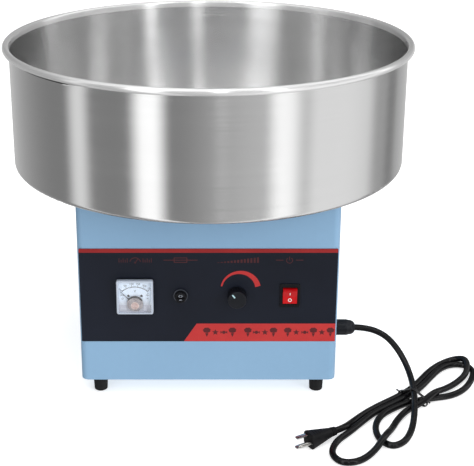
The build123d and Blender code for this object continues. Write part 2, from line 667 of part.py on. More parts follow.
# ============================================================================
# Bowl: rolled wall with a curled rim, spun floor with a lip round its opening
# ============================================================================
BEAD_C = RIM_R - BEAD_R
SEAM_Z = BOWL_Z0 + 9.0                 # butt seam between the wall and the pan floor
with BuildPart() as bowl_wall:
    with BuildSketch(Plane.XY.offset(SEAM_Z)):
        Circle(WALL_R)
        Circle(WALL_R - BOWL_T, mode=Mode.SUBTRACT)
    extrude(amount=TOP_Z - BEAD_R - SEAM_Z)
    # curled rim
    with BuildSketch(Plane.XZ):
        with Locations((BEAD_C, TOP_Z - BEAD_R)):
            Circle(BEAD_R)
            Circle(BEAD_R - BOWL_T, mode=Mode.SUBTRACT)
    revolve(axis=Axis.Z)
save(bowl_wall, "bowl_wall")

with BuildPart() as bowl_floor:
    with BuildSketch(Plane.XZ):
        with BuildLine():
            Polyline((WALL_R - BOWL_T, SEAM_Z), (WALL_R - BOWL_T, BOWL_Z0 + 6))
            RadiusArc((WALL_R - BOWL_T, BOWL_Z0 + 6), (WALL_R - 6, BOWL_Z0 + BOWL_T), 5.2)
            Polyline((WALL_R - 6, BOWL_Z0 + BOWL_T), (HUB_R, BOWL_Z0 + BOWL_T), (HUB_R, BOWL_Z0), (WALL_R - 6, BOWL_Z0))
            RadiusArc((WALL_R - 6, BOWL_Z0), (WALL_R, BOWL_Z0 + 6), -6)
            Polyline((WALL_R, BOWL_Z0 + 6), (WALL_R, SEAM_Z), (WALL_R - BOWL_T, SEAM_Z))
        make_face()
    revolve(axis=Axis.Z)
save(bowl_floor, "bowl_floor")

with BuildPart() as bowl_hub_lip:
    # upstand round the central opening, spot welded to the floor by its foot
    with BuildSketch(Plane.XZ):
        with BuildLine():
            Polyline((HUB_R, HUB_TOP), (HUB_R, BOWL_Z0 + BOWL_T), (HUB_R + 9, BOWL_Z0 + BOWL_T), (HUB_R + 9, BOWL_Z0 + 2 * BOWL_T),
                     (HUB_R + 2.8, BOWL_Z0 + 2 * BOWL_T))
            RadiusArc((HUB_R + 2.8, BOWL_Z0 + 2 * BOWL_T), (HUB_R + BOWL_T, BOWL_Z0 + 2 * BOWL_T + 2), 2.0)
            Polyline((HUB_R + BOWL_T, BOWL_Z0 + 2 * BOWL_T + 2), (HUB_R + BOWL_T, HUB_TOP), (HUB_R, HUB_TOP))
        make_face()
    revolve(axis=Axis.Z)
    with BuildSketch(Plane.XZ):
        with Locations((HUB_R + 0.4, HUB_TOP + 1.2)):
            Circle(1.5)
    revolve(axis=Axis.Z)
save(bowl_hub_lip, "bowl_hub_lip")

with BuildPart() as bowl_locating_ring:
    with BuildSketch(Plane.XY.offset(BODY_Z1)):
        Circle(HUB_R - 0.6)
        Circle(HUB_R - 2.6, mode=Mode.SUBTRACT)
    extrude(amount=18)
    with BuildSketch(Plane.XY.offset(BODY_Z1)):
        Circle(HUB_R - 2.0)
        Circle(HUB_R - 14, mode=Mode.SUBTRACT)
        with PolarLocations(HUB_R - 8.5, 6):
            Circle(1.9, mode=Mode.SUBTRACT)
    extrude(amount=2)
save(bowl_locating_ring, "bowl_locating_ring")

with BuildPart() as bowl_seat_gasket:
    with BuildSketch(Plane.XY.offset(BODY_Z1)):
        Circle(128)
        Circle(116, mode=Mode.SUBTRACT)
    extrude(amount=BOWL_Z0 - BODY_Z1 - 0.3)
    fillet(bowl_seat_gasket.faces().sort_by(Axis.Z)[-1].edges(), 1.0)
save(bowl_seat_gasket, "bowl_seat_gasket")

# ============================================================================
# Motor and drive, hung under the top plate
# ============================================================================
BRK_Z = 214.0
with BuildPart() as motor_bracket:
    with BuildSketch(Plane.XZ.offset(-52)):
        with Locations((0, BRK_Z + 1.5)):
            Rectangle(133, 3)
        with Locations((-65, BRK_Z + 26.4), (65, BRK_Z + 26.4)):
            Rectangle(3, 52.8)
        with Locations((-73, BODY_Z1 - SHEET - 1.5), (73, BODY_Z1 - SHEET - 1.5)):
            Rectangle(19, 3)
    extrude(amount=104)
    with BuildSketch(Plane.XY.offset(BRK_Z)):
        Circle(16)
        with GridLocations(64, 64, 2, 2):
            Circle(2.7)
    extrude(amount=3, mode=Mode.SUBTRACT)
    with BuildSketch(Plane.XY.offset(BODY_Z1 - SHEET - 3)):
        with GridLocations(146, 40, 2, 2):
            Circle(2.2)
    extrude(amount=3, mode=Mode.SUBTRACT)
save(motor_bracket, "motor_bracket")

with BuildPart() as drive_screws:
    # four through the top plate into the bracket, four through the bracket into the motor
    with BuildSketch(Plane.XY.offset(BODY_Z1)):
        with GridLocations(146, 40, 2, 2):
            Circle(3.8)
    extrude(amount=2.4)
    with BuildSketch(Plane.XY.offset(BODY_Z1 - 10)):
        with GridLocations(146, 40, 2, 2):
            Circle(2.1)
    extrude(amount=10)
    with BuildSketch(Plane.XY.offset(BRK_Z + 3)):
        with GridLocations(64, 64, 2, 2):
            RegularPolygon(4.6, 6)
    extrude(amount=3.5)
    with BuildSketch(Plane.XY.offset(BRK_Z - 9)):
        with GridLocations(64, 64, 2, 2):
            Circle(2.5)
    extrude(amount=12)
    add(housing_screws.part)
save(drive_screws, "housing_screws")

with BuildPart() as motor_can:
    with BuildSketch(Plane.XY.offset(120)):
        Circle(55)
        Circle(52, mode=Mode.SUBTRACT)
    extrude(amount=80)
save(motor_can, "motor_can")

with BuildPart() as motor_end_bells:
    with BuildSketch(Plane.XY.offset(200)):
        Circle(55)
    extrude(amount=BRK_Z - 200)
    with BuildSketch(Plane.XY.offset(106)):
        Circle(55)
    extrude(amount=14)
    with BuildSketch(Plane.XY.offset(200)):
        Circle(52)
        Circle(20, mode=Mode.SUBTRACT)
    extrude(amount=4, mode=Mode.SUBTRACT)
    with BuildSketch(Plane.XY.offset(116)):
        Circle(52)
        Circle(20, mode=Mode.SUBTRACT)
    extrude(amount=4, mode=Mode.SUBTRACT)
    with BuildSketch(Plane.XY.offset(200)):
        Circle(14)
    extrude(amount=12, mode=Mode.SUBTRACT)
    with BuildSketch(Plane.XY.offset(108)):
        Circle(14)
    extrude(amount=12, mode=Mode.SUBTRACT)
    with BuildSketch(Plane.XY.offset(104)):
        Circle(7)
        with PolarLocations(36, 6):
            Circle(6)
    extrude(amount=20, mode=Mode.SUBTRACT)
    with BuildSketch(Plane.XY.offset(200)):
        Circle(7)
        with GridLocations(64, 64, 2, 2):
            Circle(2.55)
    extrude(amount=20, mode=Mode.SUBTRACT)
save(motor_end_bells, "motor_end_bells")

with BuildPart() as motor_bearings:
    for z0 in (108.0, 204.0):
        with BuildSketch(Plane.XY.offset(z0)):
            Circle(13.97)
            Circle(SHAFT_R + 0.04, mode=Mode.SUBTRACT)
        extrude(amount=8)
    for z0 in (107.5, 115.0, 203.5, 211.0):
        with BuildSketch(Plane.XY.offset(z0 + 0.5)):
            Circle(12.2)
            Circle(8.2, mode=Mode.SUBTRACT)
        extrude(amount=0.5, mode=Mode.SUBTRACT)
save(motor_bearings, "motor_bearings")

with BuildPart() as stator_core:
    with BuildSketch(Plane.XY.offset(132)):
        Circle(51.9)
        Circle(30.2, mode=Mode.SUBTRACT)
        with PolarLocations(38.5, 24):
            SlotOverall(11, 4.2, mode=Mode.SUBTRACT)
    extrude(amount=56)
save(stator_core, "stator_core")

with BuildPart() as stator_windings:
    for z0 in (124.0, 188.0):
        with BuildSketch(Plane.XY.offset(z0)):
            Circle(46)
            Circle(32, mode=Mode.SUBTRACT)
        extrude(amount=8)
    fillet(stator_windings.faces().filter_by(Axis.Z).sort_by(Axis.Z)[0].edges(), 2.5)
    fillet(stator_windings.faces().filter_by(Axis.Z).sort_by(Axis.Z)[-1].edges(), 2.5)
save(stator_windings, "stator_windings")

with BuildPart() as motor_shaft:
    with BuildSketch(Plane.XY.offset(84)):
        Circle(SHAFT_R)
    extrude(amount=HEAD_Z0 + 3 - 84)
    with BuildSketch(Plane.XY.offset(HEAD_Z0 + 3)):
        Circle(4.0)
    extrude(amount=8)
    chamfer(motor_shaft.faces().sort_by(Axis.Z)[-1].edges(), 0.6)
save(motor_shaft, "motor_shaft")

with BuildPart() as motor_rotor:
    with BuildSketch(Plane.XY.offset(132)):
        Circle(29.6)
        Circle(SHAFT_R + 0.02, mode=Mode.SUBTRACT)
    extrude(amount=56)
    for z0 in (126.0, 188.0):
        with BuildSketch(Plane.XY.offset(z0)):
            Circle(27)
            Circle(19, mode=Mode.SUBTRACT)
        extrude(amount=6)
save(motor_rotor, "motor_rotor")

with BuildPart() as cooling_fan:
    with BuildSketch(Plane.XY.offset(85)):
        Circle(13)
    extrude(amount=17)
    for k in range(7):
        with Locations(Location((27.5 * math.cos(k * 2 * math.pi / 7), 27.5 * math.sin(k * 2 * math.pi / 7), 93.5), (0, 0, k * 360 / 7))):
            Box(33, 1.8, 17, rotation=(42, 0, 0))
    with BuildSketch(Plane.XY.offset(80)):
        Circle(SHAFT_R + 0.02)
    extrude(amount=30, mode=Mode.SUBTRACT)
save(cooling_fan, "cooling_fan")

with BuildPart() as slip_ring_hub:
    with BuildSketch(Plane.XY.offset(244)):
        Circle(34)
    extrude(amount=8)
    with BuildSketch(Plane.XY.offset(239)):
        Circle(12)
    extrude(amount=21)
    with BuildSketch(Plane.XY.offset(239)):
        Circle(SHAFT_R + 0.02)
    extrude(amount=21, mode=Mode.SUBTRACT)
save(slip_ring_hub, "slip_ring_hub")

with BuildPart() as slip_rings:
    with BuildSketch(Plane.XY.offset(242)):
        Circle(24.5)
        Circle(19.5, mode=Mode.SUBTRACT)
    extrude(amount=2)
    with BuildSketch(Plane.XY.offset(242)):
        Circle(31.5)
        Circle(26.5, mode=Mode.SUBTRACT)
    extrude(amount=2)
save(slip_rings, "slip_rings")

BRUSHES = [(-22.0, 0.0), (29.0, 0.0)]
with BuildPart() as brush_holder:
    with BuildSketch(Plane.XY.offset(BRK_Z + 3)):
        RectangleRounded(82, 20, 4)
        Circle(8.5, mode=Mode.SUBTRACT)
    extrude(amount=19)
    with BuildSketch(Plane.XY.offset(BRK_Z + 5)):
        with Locations(*BRUSHES):
            Circle(2.75)
    extrude(amount=17, mode=Mode.SUBTRACT)
save(brush_holder, "brush_holder")

with BuildPart() as brushes:
    with BuildSketch(Plane.XY.offset(229)):
        with Locations(*BRUSHES):
            Circle(2.5)
    extrude(amount=12.7)
save(brushes, "brushes")

with BuildPart() as brush_springs:
    for bx, by in BRUSHES:
        with BuildLine(Plane(origin=(bx, by, BRK_Z + 5.4))):
            coil = Helix(pitch=1.6, height=9.0, radius=1.9)
        with BuildSketch(Plane(origin=coil @ 0, z_dir=coil % 0)):
            Circle(0.3)
        sweep(path=coil, is_frenet=True)
save(brush_springs, "brush_springs")

# ============================================================================
# Spinner head
# ============================================================================
head_screw_points = [(50 * math.cos(math.radians(a)), 50 * math.sin(math.radians(a))) for a in (45, 135, 225, 315)]
with BuildPart() as head_base:
    with BuildSketch(Plane.XZ):
        with BuildLine():
            Polyline((SHAFT_R + 0.02, 286), (15, 286), (15, HEAD_Z0), (HEAD_R, HEAD_Z0), (HEAD_R, HEAD_Z0 + 6.5),
                     (HEAD_R - 2, HEAD_Z0 + 6.5), (HEAD_R - 2, HEAD_Z0 + 3), (SHAFT_R + 0.02, HEAD_Z0 + 3), close=True)
        make_face()
    revolve(axis=Axis.Z)
    with BuildSketch(Plane.XY.offset(HEAD_Z0 - 1)):
        with Locations(*head_screw_points):
            Circle(1.7)
        with Locations((0, 24), (0, -24)):
            Circle(2.4)
    extrude(amount=6, mode=Mode.SUBTRACT)
save(head_base, "head_base")

with BuildPart() as head_band:
    with BuildSketch(Plane.XY.offset(HEAD_Z0 + 3)):
        Circle(HEAD_R - 2.1)
        Circle(HEAD_R - 3.1, mode=Mode.SUBTRACT)
    extrude(amount=26)
    for k in range(24):
        with Locations(Location((0, 0, HEAD_Z0 + 16.5), (0, 0, k * 7.5))):
            Box(2 * HEAD_R + 10, 1.4, 15, mode=Mode.SUBTRACT)
save(head_band, "head_band")

with BuildPart() as head_lid:
    with BuildSketch(Plane.XZ):
        with BuildLine():
            Polyline((17.4, HEAD_Z0 + 33), (30, HEAD_Z0 + 33), (46, HEAD_Z0 + 29), (HEAD_R - 2, HEAD_Z0 + 29), (HEAD_R - 2, HEAD_Z0 + 25),
                     (HEAD_R, HEAD_Z0 + 25), (HEAD_R, HEAD_Z0 + 31), (HEAD_R - 1, HEAD_Z0 + 32), (46, HEAD_Z0 + 32), (30.5, HEAD_Z0 + 36), (17.4, HEAD_Z0 + 36), close=True)
        make_face()
    revolve(axis=Axis.Z)
    with BuildSketch(Plane.XY.offset(HEAD_Z0 + 28)):
        with Locations(*head_screw_points):
            Circle(1.7)
    extrude(amount=6, mode=Mode.SUBTRACT)
save(head_lid, "head_lid")

with BuildPart() as sugar_cup:
    with BuildSketch(Plane.XZ):
        with BuildLine():
            Polyline((0, 315), (17, 315), (17, HEAD_Z0 + 36), (23, HEAD_Z0 + 36), (23, HEAD_Z0 + 37), (18.4, HEAD_Z0 + 37), (33, 352),
                     (32.2, 353), (16, HEAD_Z0 + 37.5), (16, 316), (0, 316), close=True)
        make_face()
    revolve(axis=Axis.Z)
    # outlets that feed the heated chamber
    for k in range(4):
        with Locations(Location((0, 0, 320.5), (0, 0, k * 45 + 22.5))):
            Box(40, 3.2, 6, mode=Mode.SUBTRACT)
save(sugar_cup, "sugar_cup")

with BuildPart() as heating_element:
    with BuildSketch(Plane.XY.offset(HEAD_Z0 + 8)):
        Circle(66)
        Circle(65, mode=Mode.SUBTRACT)
    extrude(amount=15)
    with BuildSketch(Plane.XY.offset(HEAD_Z0 + 10)):
        with Locations((0, 44), (0, -44)):
            Rectangle(4, 43)
    extrude(amount=1.5)
    # leads down to the slip rings
    with BuildSketch(Plane.XY.offset(252)):
        with Locations((0, 24), (0, -24)):
            Circle(1.6)
    extrude(amount=HEAD_Z0 + 10 - 252)
save(heating_element, "heating_element")

with BuildPart() as head_fasteners:
    with BuildSketch(Plane.XY.offset(HEAD_Z0 - 3)):
        with Locations(*head_screw_points):
            RegularPolygon(3.2, 6)
    extrude(amount=3)
    with BuildSketch(Plane.XY.offset(HEAD_Z0 - 4)):
        with Locations(*head_screw_points):
            Circle(1.5)
    extrude(amount=38)
    with BuildSketch(Plane.XY.offset(HEAD_Z0 + 32)):
        with Locations(*head_screw_points):
            Circle(3.2)
    extrude(amount=2.4)
    # nut on the shaft's thread
    with BuildSketch(Plane.XY.offset(HEAD_Z0 + 3)):
        RegularPolygon(8.2, 6)
        Circle(4.05, mode=Mode.SUBTRACT)
    extrude(amount=6)
save(head_fasteners, "head_fasteners")

# ============================================================================
# Electrics on the base plate
# ============================================================================
with BuildPart() as control_board:
    with BuildSketch(Plane.XY.offset(BODY_Z0 + SHEET + 8)):
        with Locations((-88, -70)):
            RectangleRounded(92, 70, 2)
    extrude(amount=1.6)
    with BuildSketch(Plane.XY.offset(BODY_Z0 + SHEET)):
        with Locations((-88, -70)):
            with GridLocations(82, 60, 2, 2):
                Circle(3)
    extrude(amount=8)
    # capacitor, relay and a finned heat sink
    with BuildSketch(Plane.XY.offset(BODY_Z0 + SHEET + 9.6)):
        with Locations((-112, -56)):
            Circle(9)
        with Locations((-112, -86)):
            Rectangle(19, 15)
    extrude(amount=22)
    with BuildSketch(Plane.XY.offset(BODY_Z0 + SHEET + 9.6)):
        with Locations((-72, -58)):
            Rectangle(44, 3)
            with GridLocations(5.5, 0, 8, 1):
                with Locations((0, -7)):
                    Rectangle(1.5, 14)
    extrude(amount=30)
save(control_board, "control_board")

with BuildPart() as terminal_block:
    with BuildSketch(Plane.XY.offset(BODY_Z0 + SHEET)):
        with Locations((112, -96)):
            Rectangle(20, 46)
    extrude(amount=16)
    with BuildSketch(Plane.XY.offset(BODY_Z0 + SHEET + 16)):
        with Locations((112, -96)):
            with GridLocations(0, 11, 1, 4):
                Circle(3)
    extrude(amount=-4, mode=Mode.SUBTRACT)
save(terminal_block, "terminal_block")

# inner leads: terminal block to switch, switch to fuse holder, board to knob control
wire_routes = [
    [(112, -112.5, 41.2), (112, -112.5, 62), (110, -120, 86), (108, -124, 106), (105.5, -126.6, 122)],
    [(112, -101.5, 41.2), (112, -101.5, 58), (92, -104, 76), (60, -108, 92), (12, -109.5, 112), (-20, -110, 126), (-34, -108.6, 137)],
    [(-60, -88, 34.8), (-60, -88, 60), (-34, -98, 84), (4, -112, 100), (22, -126, 108), (30, -140, 116)],
    [(-34, -108.6, 146), (-40, -106, 158), (-58, -103, 162), (-75, -101, 156), (-81, -106.6, 147)],
]
wires_made = []
for pts in wire_routes:
    rad = corner_radii(pts)
    with BuildPart() as one_wire:
        with BuildLine():
            FilletPolyline(*pts, radius=rad)
        with BuildSketch(Plane(origin=pts[0], z_dir=Vector(*pts[1]) - Vector(*pts[0]))):
            Circle(1.3)
        sweep()
    wires_made.append(one_wire.part)
with BuildPart() as internal_wires:
    for w in wires_made:
        add(w)
save(internal_wires, "internal_wires")

print("parts written:", len(os.listdir("parts")))
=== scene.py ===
import math

import bpy
import bmesh
from mathutils import Matrix, Vector


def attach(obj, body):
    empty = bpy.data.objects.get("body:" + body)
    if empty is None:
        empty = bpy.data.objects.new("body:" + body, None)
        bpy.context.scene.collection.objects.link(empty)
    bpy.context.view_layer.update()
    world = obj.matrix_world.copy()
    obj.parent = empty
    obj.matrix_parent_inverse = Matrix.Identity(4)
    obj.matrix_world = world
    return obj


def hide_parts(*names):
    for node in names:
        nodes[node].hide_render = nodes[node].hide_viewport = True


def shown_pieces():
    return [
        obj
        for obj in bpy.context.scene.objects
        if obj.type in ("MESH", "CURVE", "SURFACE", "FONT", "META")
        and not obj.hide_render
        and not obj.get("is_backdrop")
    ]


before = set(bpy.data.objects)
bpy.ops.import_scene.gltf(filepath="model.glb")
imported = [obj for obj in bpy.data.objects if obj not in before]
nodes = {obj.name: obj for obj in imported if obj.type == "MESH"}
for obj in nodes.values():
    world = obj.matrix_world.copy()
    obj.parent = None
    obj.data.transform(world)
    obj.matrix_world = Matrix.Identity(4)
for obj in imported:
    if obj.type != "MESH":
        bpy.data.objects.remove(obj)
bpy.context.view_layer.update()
MM = 0.001
scene = bpy.context.scene


def link(ob):
    scene.collection.objects.link(ob)
    return ob


# ---------------------------------------------------------------------------
# Camera
# ---------------------------------------------------------------------------
cam = bpy.data.cameras.new("camera")
cam.lens = 85.81
cam.sensor_width = 36.0
cam.shift_x = 0.0603
cam.shift_y = -0.1257
cam.clip_start, cam.clip_end = 0.05, 60.0
camera = link(bpy.data.objects.new("camera", cam))
camera.location = (0.0, -1.4168, 0.7382)
camera.rotation_euler = (math.radians(70.838), 0.0, 0.0)
scene.camera = camera

# ---------------------------------------------------------------------------
# Mains lead: the route's own points, in millimetres
# ---------------------------------------------------------------------------
CORD_D = 8.0
CORD = [
    (180.0, -100.0, 70.0), (203.0, -100.0, 70.0), (227.8, -101.0, 60.4), (243.6, -107.1, 45.1), (254.1, -120.6, 29.8),
    (258.8, -141.1, 18.4), (258.3, -166.5, 13.0), (254.5, -193.8, 13.8), (249.6, -220.1, 6.5), (241.6, -245.4, 4.0),
    (230.1, -266.9, 4.2), (214.3, -276.0, 4.1), (201.4, -261.0, 4.0), (199.5, -234.7, 4.5), (209.7, -209.0, 4.9),
    (230.4, -190.1, 4.9), (254.5, -175.7, 5.2), (281.0, -167.2, 4.6), (306.7, -160.8, 4.1), (326.6, -145.1, 4.1),
    (340.4, -122.5, 4.2), (348.9, -99.3, 4.4), (343.6, -81.3, 4.0), (324.8, -78.3, 4.2), (306.0, -91.2, 5.0),
    (290.2, -112.4, 4.5), (275.5, -135.4, 4.9), (259.3, -156.4, 5.4), (240.0, -173.7, 5.4), (219.3, -189.0, 4.7),
    (200.1, -205.3, 4.7), (184.3, -225.0, 4.8), (168.3, -246.2, 5.3), (149.3, -266.9, 5.2), (141.3, -290.9, 4.2),
    (151.6, -309.2, 4.1), (173.5, -306.4, 4.1), (192.7, -289.0, 7.0), (207.8, -265.9, 13.9), (219.2, -241.0, 5.8),
    (230.3, -216.3, 4.6), (244.9, -195.9, 5.0), (264.3, -182.6, 6.3), (283.0, -168.5, 14.3), (301.3, -147.5, 6.3),
    (321.5, -126.4, 3.9), (338.8, -104.7, 5.8), (343.0, -82.1, 14.0), (330.1, -68.8, 7.6), (308.1, -77.8, 4.1),
    (289.2, -99.0, 4.3), (273.3, -123.9, 4.7), (256.7, -147.2, 5.1), (236.6, -166.0, 5.1), (214.7, -182.2, 4.4),
    (193.8, -200.2, 4.1), (175.0, -221.4, 4.2), (161.2, -245.2, 10.2), (150.0, -252.0, 10.5),
]
curve = bpy.data.curves.new("power_lead", "CURVE")
curve.dimensions = "3D"
curve.resolution_u = 10
curve.bevel_depth = CORD_D / 2 * MM
curve.bevel_resolution = 7
spline = curve.splines.new("NURBS")
spline.points.add(len(CORD) - 1)
for i, p in enumerate(CORD):
    spline.points[i].co = (p[0] * MM, p[1] * MM, p[2] * MM, 1.0)
spline.order_u = 3
spline.use_endpoint_u = True
power_lead = link(bpy.data.objects.new("power_lead", curve))
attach(power_lead, "root")
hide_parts("power_cord", "cord_hank")


# ---------------------------------------------------------------------------
# Mesh helpers, all in millimetres in the row frame
# ---------------------------------------------------------------------------
def make(name, verts, faces, material, body, slot=None, smooth=True, angle=32.0, bevel=0.0, segments=2):
    mesh = bpy.data.meshes.new(name)
    mesh.from_pydata([Vector(v) * MM for v in verts], [], faces)
    bm = bmesh.new()
    bm.from_mesh(mesh)
    bmesh.ops.remove_doubles(bm, verts=bm.verts, dist=1e-7)
    if bevel:
        sharp = [e for e in bm.edges if len(e.link_faces) == 2 and e.calc_face_angle(0.0) > math.radians(angle)]
        bmesh.ops.bevel(bm, geom=sharp, offset=bevel * MM, segments=segments, profile=0.5, affect="EDGES", clamp_overlap=True)
    bmesh.ops.recalc_face_normals(bm, faces=bm.faces)
    bm.to_mesh(mesh)
    bm.free()
    mesh.validate()
    for poly in mesh.polygons:
        poly.use_smooth = smooth
    if smooth:
        mesh.set_sharp_from_angle(angle=math.radians(angle))
    mesh.materials.append(material)
    ob = link(bpy.data.objects.new(name, mesh))
    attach(ob, body)
    return ob


def join_parts(parts):
    """(verts, faces) pairs as one."""
    verts, faces = [], []
    for v, f in parts:
        k = len(verts)
        verts += v
        faces += [tuple(i + k for i in face) for face in f]
    return verts, faces


def prism(outline, to_point, lo, hi):
    """Closed solid over a flat outline; to_point(a, b, h) gives the 3-D point at height h."""
    n = len(outline)
    verts = [to_point(a, b, lo) for a, b in outline] + [to_point(a, b, hi) for a, b in outline]
    faces = [tuple(range(n))[::-1], tuple(range(n, 2 * n))]
    faces += [(i, (i + 1) % n, n + (i + 1) % n, n + i) for i in range(n)]
    return verts, faces


def ring_prism(outer, inner, to_point, lo, hi):
    """Closed solid between two outlines with the same number of points."""
    n = len(outer)
    verts = []
    for h in (lo, hi):
        verts += [to_point(a, b, h) for a, b in outer] + [to_point(a, b, h) for a, b in inner]
    faces = []
    for i in range(n):
        j = (i + 1) % n
        faces.append((i, n + i, n + j, j))
        faces.append((2 * n + i, 2 * n + j, 3 * n + j, 3 * n + i))
        faces.append((i, j, 2 * n + j, 2 * n + i))
        faces.append((n + i, 3 * n + i, 3 * n + j, n + j))
    return verts, faces


def lathe(profile, segments, closed=True, centre=(0.0, 0.0), start=0.0, sweep=360.0):
    """Profile of (r, z) turned about the vertical axis through centre."""
    full = sweep >= 359.999
    m, steps = len(profile), segments if full else segments + 1
    verts = []
    for k in range(steps):
        a = math.radians(start + sweep * k / segments)
        verts += [(centre[0] + r * math.cos(a), centre[1] + r * math.sin(a), z) for r, z in profile]
    faces = []
    for k in range(segments):
        k2 = (k + 1) % steps
        for i in range(m if closed else m - 1):
            i2 = (i + 1) % m
            faces.append((k * m + i, k2 * m + i, k2 * m + i2, k * m + i2))
    if not full and closed:
        faces += [tuple(range(m)), tuple((steps - 1) * m + i for i in range(m))[::-1]]
    return verts, faces


def circle(cx, cy, r, n=48, start=0.0):
    return [(cx + r * math.cos(math.radians(start) + 2 * math.pi * i / n), cy + r * math.sin(math.radians(start) + 2 * math.pi * i / n)) for i in range(n)]


def rect(x0, y0, x1, y1):
    return [(x0, y0), (x1, y0), (x1, y1), (x0, y1)]


def rounded(x0, y0, x1, y1, r, n=6):
    pts = []
    for cx, cy, a0 in ((x1 - r, y0 + r, -90), (x1 - r, y1 - r, 0), (x0 + r, y1 - r, 90), (x0 + r, y0 + r, 180)):
        for i in range(n + 1):
            a = math.radians(a0 + 90 * i / n)
            pts.append((cx + r * math.cos(a), cy + r * math.sin(a)))
    return pts


def arc_pts(cx, cy, r, a0, a1, n):
    return [(cx + r * math.cos(math.radians(a0 + (a1 - a0) * i / n)), cy + r * math.sin(math.radians(a0 + (a1 - a0) * i / n))) for i in range(n + 1)]


def arc_band(cx, cy, r0, r1, a0, a1, n=48):
    return arc_pts(cx, cy, r1, a0, a1, n) + arc_pts(cx, cy, r0, a1, a0, n)


def bar(x0, y0, x1, y1, w):
    d = Vector((x1 - x0, y1 - y0)).normalized()
    s = Vector((-d.y, d.x)) * (w / 2)
    return [(x0 - s.x, y0 - s.y), (x1 - s.x, y1 - s.y), (x1 + s.x, y1 + s.y), (x0 + s.x, y0 + s.y)]


def three_point_circle(a, b, c):
    ax, ay, bx, by, cx, cy = *a, *b, *c
    d = 2 * (ax * (by - cy) + bx * (cy - ay) + cx * (ay - by))
    ux = ((ax * ax + ay * ay) * (by - cy) + (bx * bx + by * by) * (cy - ay) + (cx * cx + cy * cy) * (ay - by)) / d
    uy = ((ax * ax + ay * ay) * (cx - bx) + (bx * bx + by * by) * (ax - cx) + (cx * cx + cy * cy) * (bx - ax)) / d
    return ux, uy, math.hypot(ax - ux, ay - uy)


# ---------------------------------------------------------------------------
# Materials
# ---------------------------------------------------------------------------
class Mat:
    """One node material round a Principled shader; lengths in the textures are metres of the object."""

    def __init__(self, name, **sockets):
        self.m = bpy.data.materials.new(name)
        self.m.use_nodes = True
        self.t = self.m.node_tree
        self.t.nodes.clear()
        self.out = self.node("ShaderNodeOutputMaterial")
        self.b = self.node("ShaderNodeBsdfPrincipled")
        self.link(self.b.outputs[0], self.out.inputs[0])
        self.coord = self.node("ShaderNodeTexCoord").outputs["Object"]
        self.normal = None
        for k, v in sockets.items():
            self.b.inputs[k.replace("_", " ")].default_value = v

    def node(self, kind, **props):
        n = self.t.nodes.new(kind)
        for k, v in props.items():
            setattr(n, k, v)
        return n

    def link(self, a, b):
        self.t.links.new(a, b)

    def put(self, socket, value):
        if hasattr(value, "is_linked"):
            self.link(value, socket)
        else:
            socket.default_value = value

    def scaled(self, scale, coord=None):
        n = self.node("ShaderNodeMapping")
        self.link(coord or self.coord, n.inputs["Vector"])
        n.inputs["Scale"].default_value = scale if hasattr(scale, "__len__") else (scale,) * 3
        return n.outputs[0]

    def noise(self, scale, detail=2.0, rough=0.5, coord=None, distortion=0.0):
        n = self.node("ShaderNodeTexNoise")
        self.link(self.scaled(scale, coord), n.inputs["Vector"])
        n.inputs["Scale"].default_value = 1.0
        n.inputs["Detail"].default_value = detail
        n.inputs["Roughness"].default_value = rough
        n.inputs["Distortion"].default_value = distortion
        return n.outputs["Fac"]

    def cells(self, scale, feature="F1", coord=None):
        n = self.node("ShaderNodeTexVoronoi", feature=feature)
        self.link(self.scaled(scale, coord), n.inputs["Vector"])
        n.inputs["Scale"].default_value = 1.0
        return n.outputs["Distance"]

    def math(self, op, a, b=None, c=None, clamp=False):
        n = self.node("ShaderNodeMath", operation=op, use_clamp=clamp)
        for s, v in zip(n.inputs, (a, b, c)):
            if v is not None:
                self.put(s, v)
        return n.outputs[0]

    def span(self, value, lo, hi, to_lo, to_hi, kind="LINEAR"):
        n = self.node("ShaderNodeMapRange", interpolation_type=kind)
        self.put(n.inputs[0], value)
        for i, v in enumerate((lo, hi, to_lo, to_hi)):
            n.inputs[i + 1].default_value = v
        return n.outputs[0]

    def mix(self, fac, a, b, blend="MIX"):
        n = self.node("ShaderNodeMix", data_type="RGBA", blend_type=blend)
        self.put(n.inputs["Factor"], fac)
        for s, v in ((n.inputs[6], a), (n.inputs[7], b)):
            self.put(s, v if hasattr(v, "is_linked") else (*v, 1.0))
        return n.outputs[2]

    def xyz(self, coord=None):
        n = self.node("ShaderNodeSeparateXYZ")
        self.link(coord or self.coord, n.inputs[0])
        return n.outputs

    def combine(self, x, y, z):
        n = self.node("ShaderNodeCombineXYZ")
        for s, v in zip(n.inputs, (x, y, z)):
            self.put(s, v)
        return n.outputs[0]

    def colour(self, value):
        self.put(self.b.inputs["Base Color"], value if hasattr(value, "is_linked") else (*value, 1.0))

    def rough(self, value):
        self.put(self.b.inputs["Roughness"], value)

    def bump(self, height, mm, strength=1.0):
        n = self.node("ShaderNodeBump")
        n.inputs["Strength"].default_value = strength
        n.inputs["Distance"].default_value = mm * MM
        self.link(height, n.inputs["Height"])
        if self.normal is not None:
            self.link(self.normal, n.inputs["Normal"])
        self.normal = n.outputs[0]
        self.link(self.normal, self.b.inputs["Normal"])

    def ring_coord(self, across=700.0, along=1.3):
        """Coordinates that run fast across the turning marks and slowly round the Z axis."""
        x, y, z = self.xyz()
        r = self.math("SQRT", self.math("ADD", self.math("MULTIPLY", x, x), self.math("MULTIPLY", y, y)))
        rr = self.math("MAXIMUM", r, 1e-5)
        w = self.math("MULTIPLY", self.math("ADD", r, z), across)
        return self.combine(self.math("MULTIPLY", self.math("DIVIDE", x, rr), along), self.math("MULTIPLY", self.math("DIVIDE", y, rr), along), w)


def srgb(r, g, b):
    def f(c):
        c /= 255.0
        return c / 12.92 if c <= 0.04045 else ((c + 0.055) / 1.055) ** 2.4
    return (f(r), f(g), f(b))


M = {}

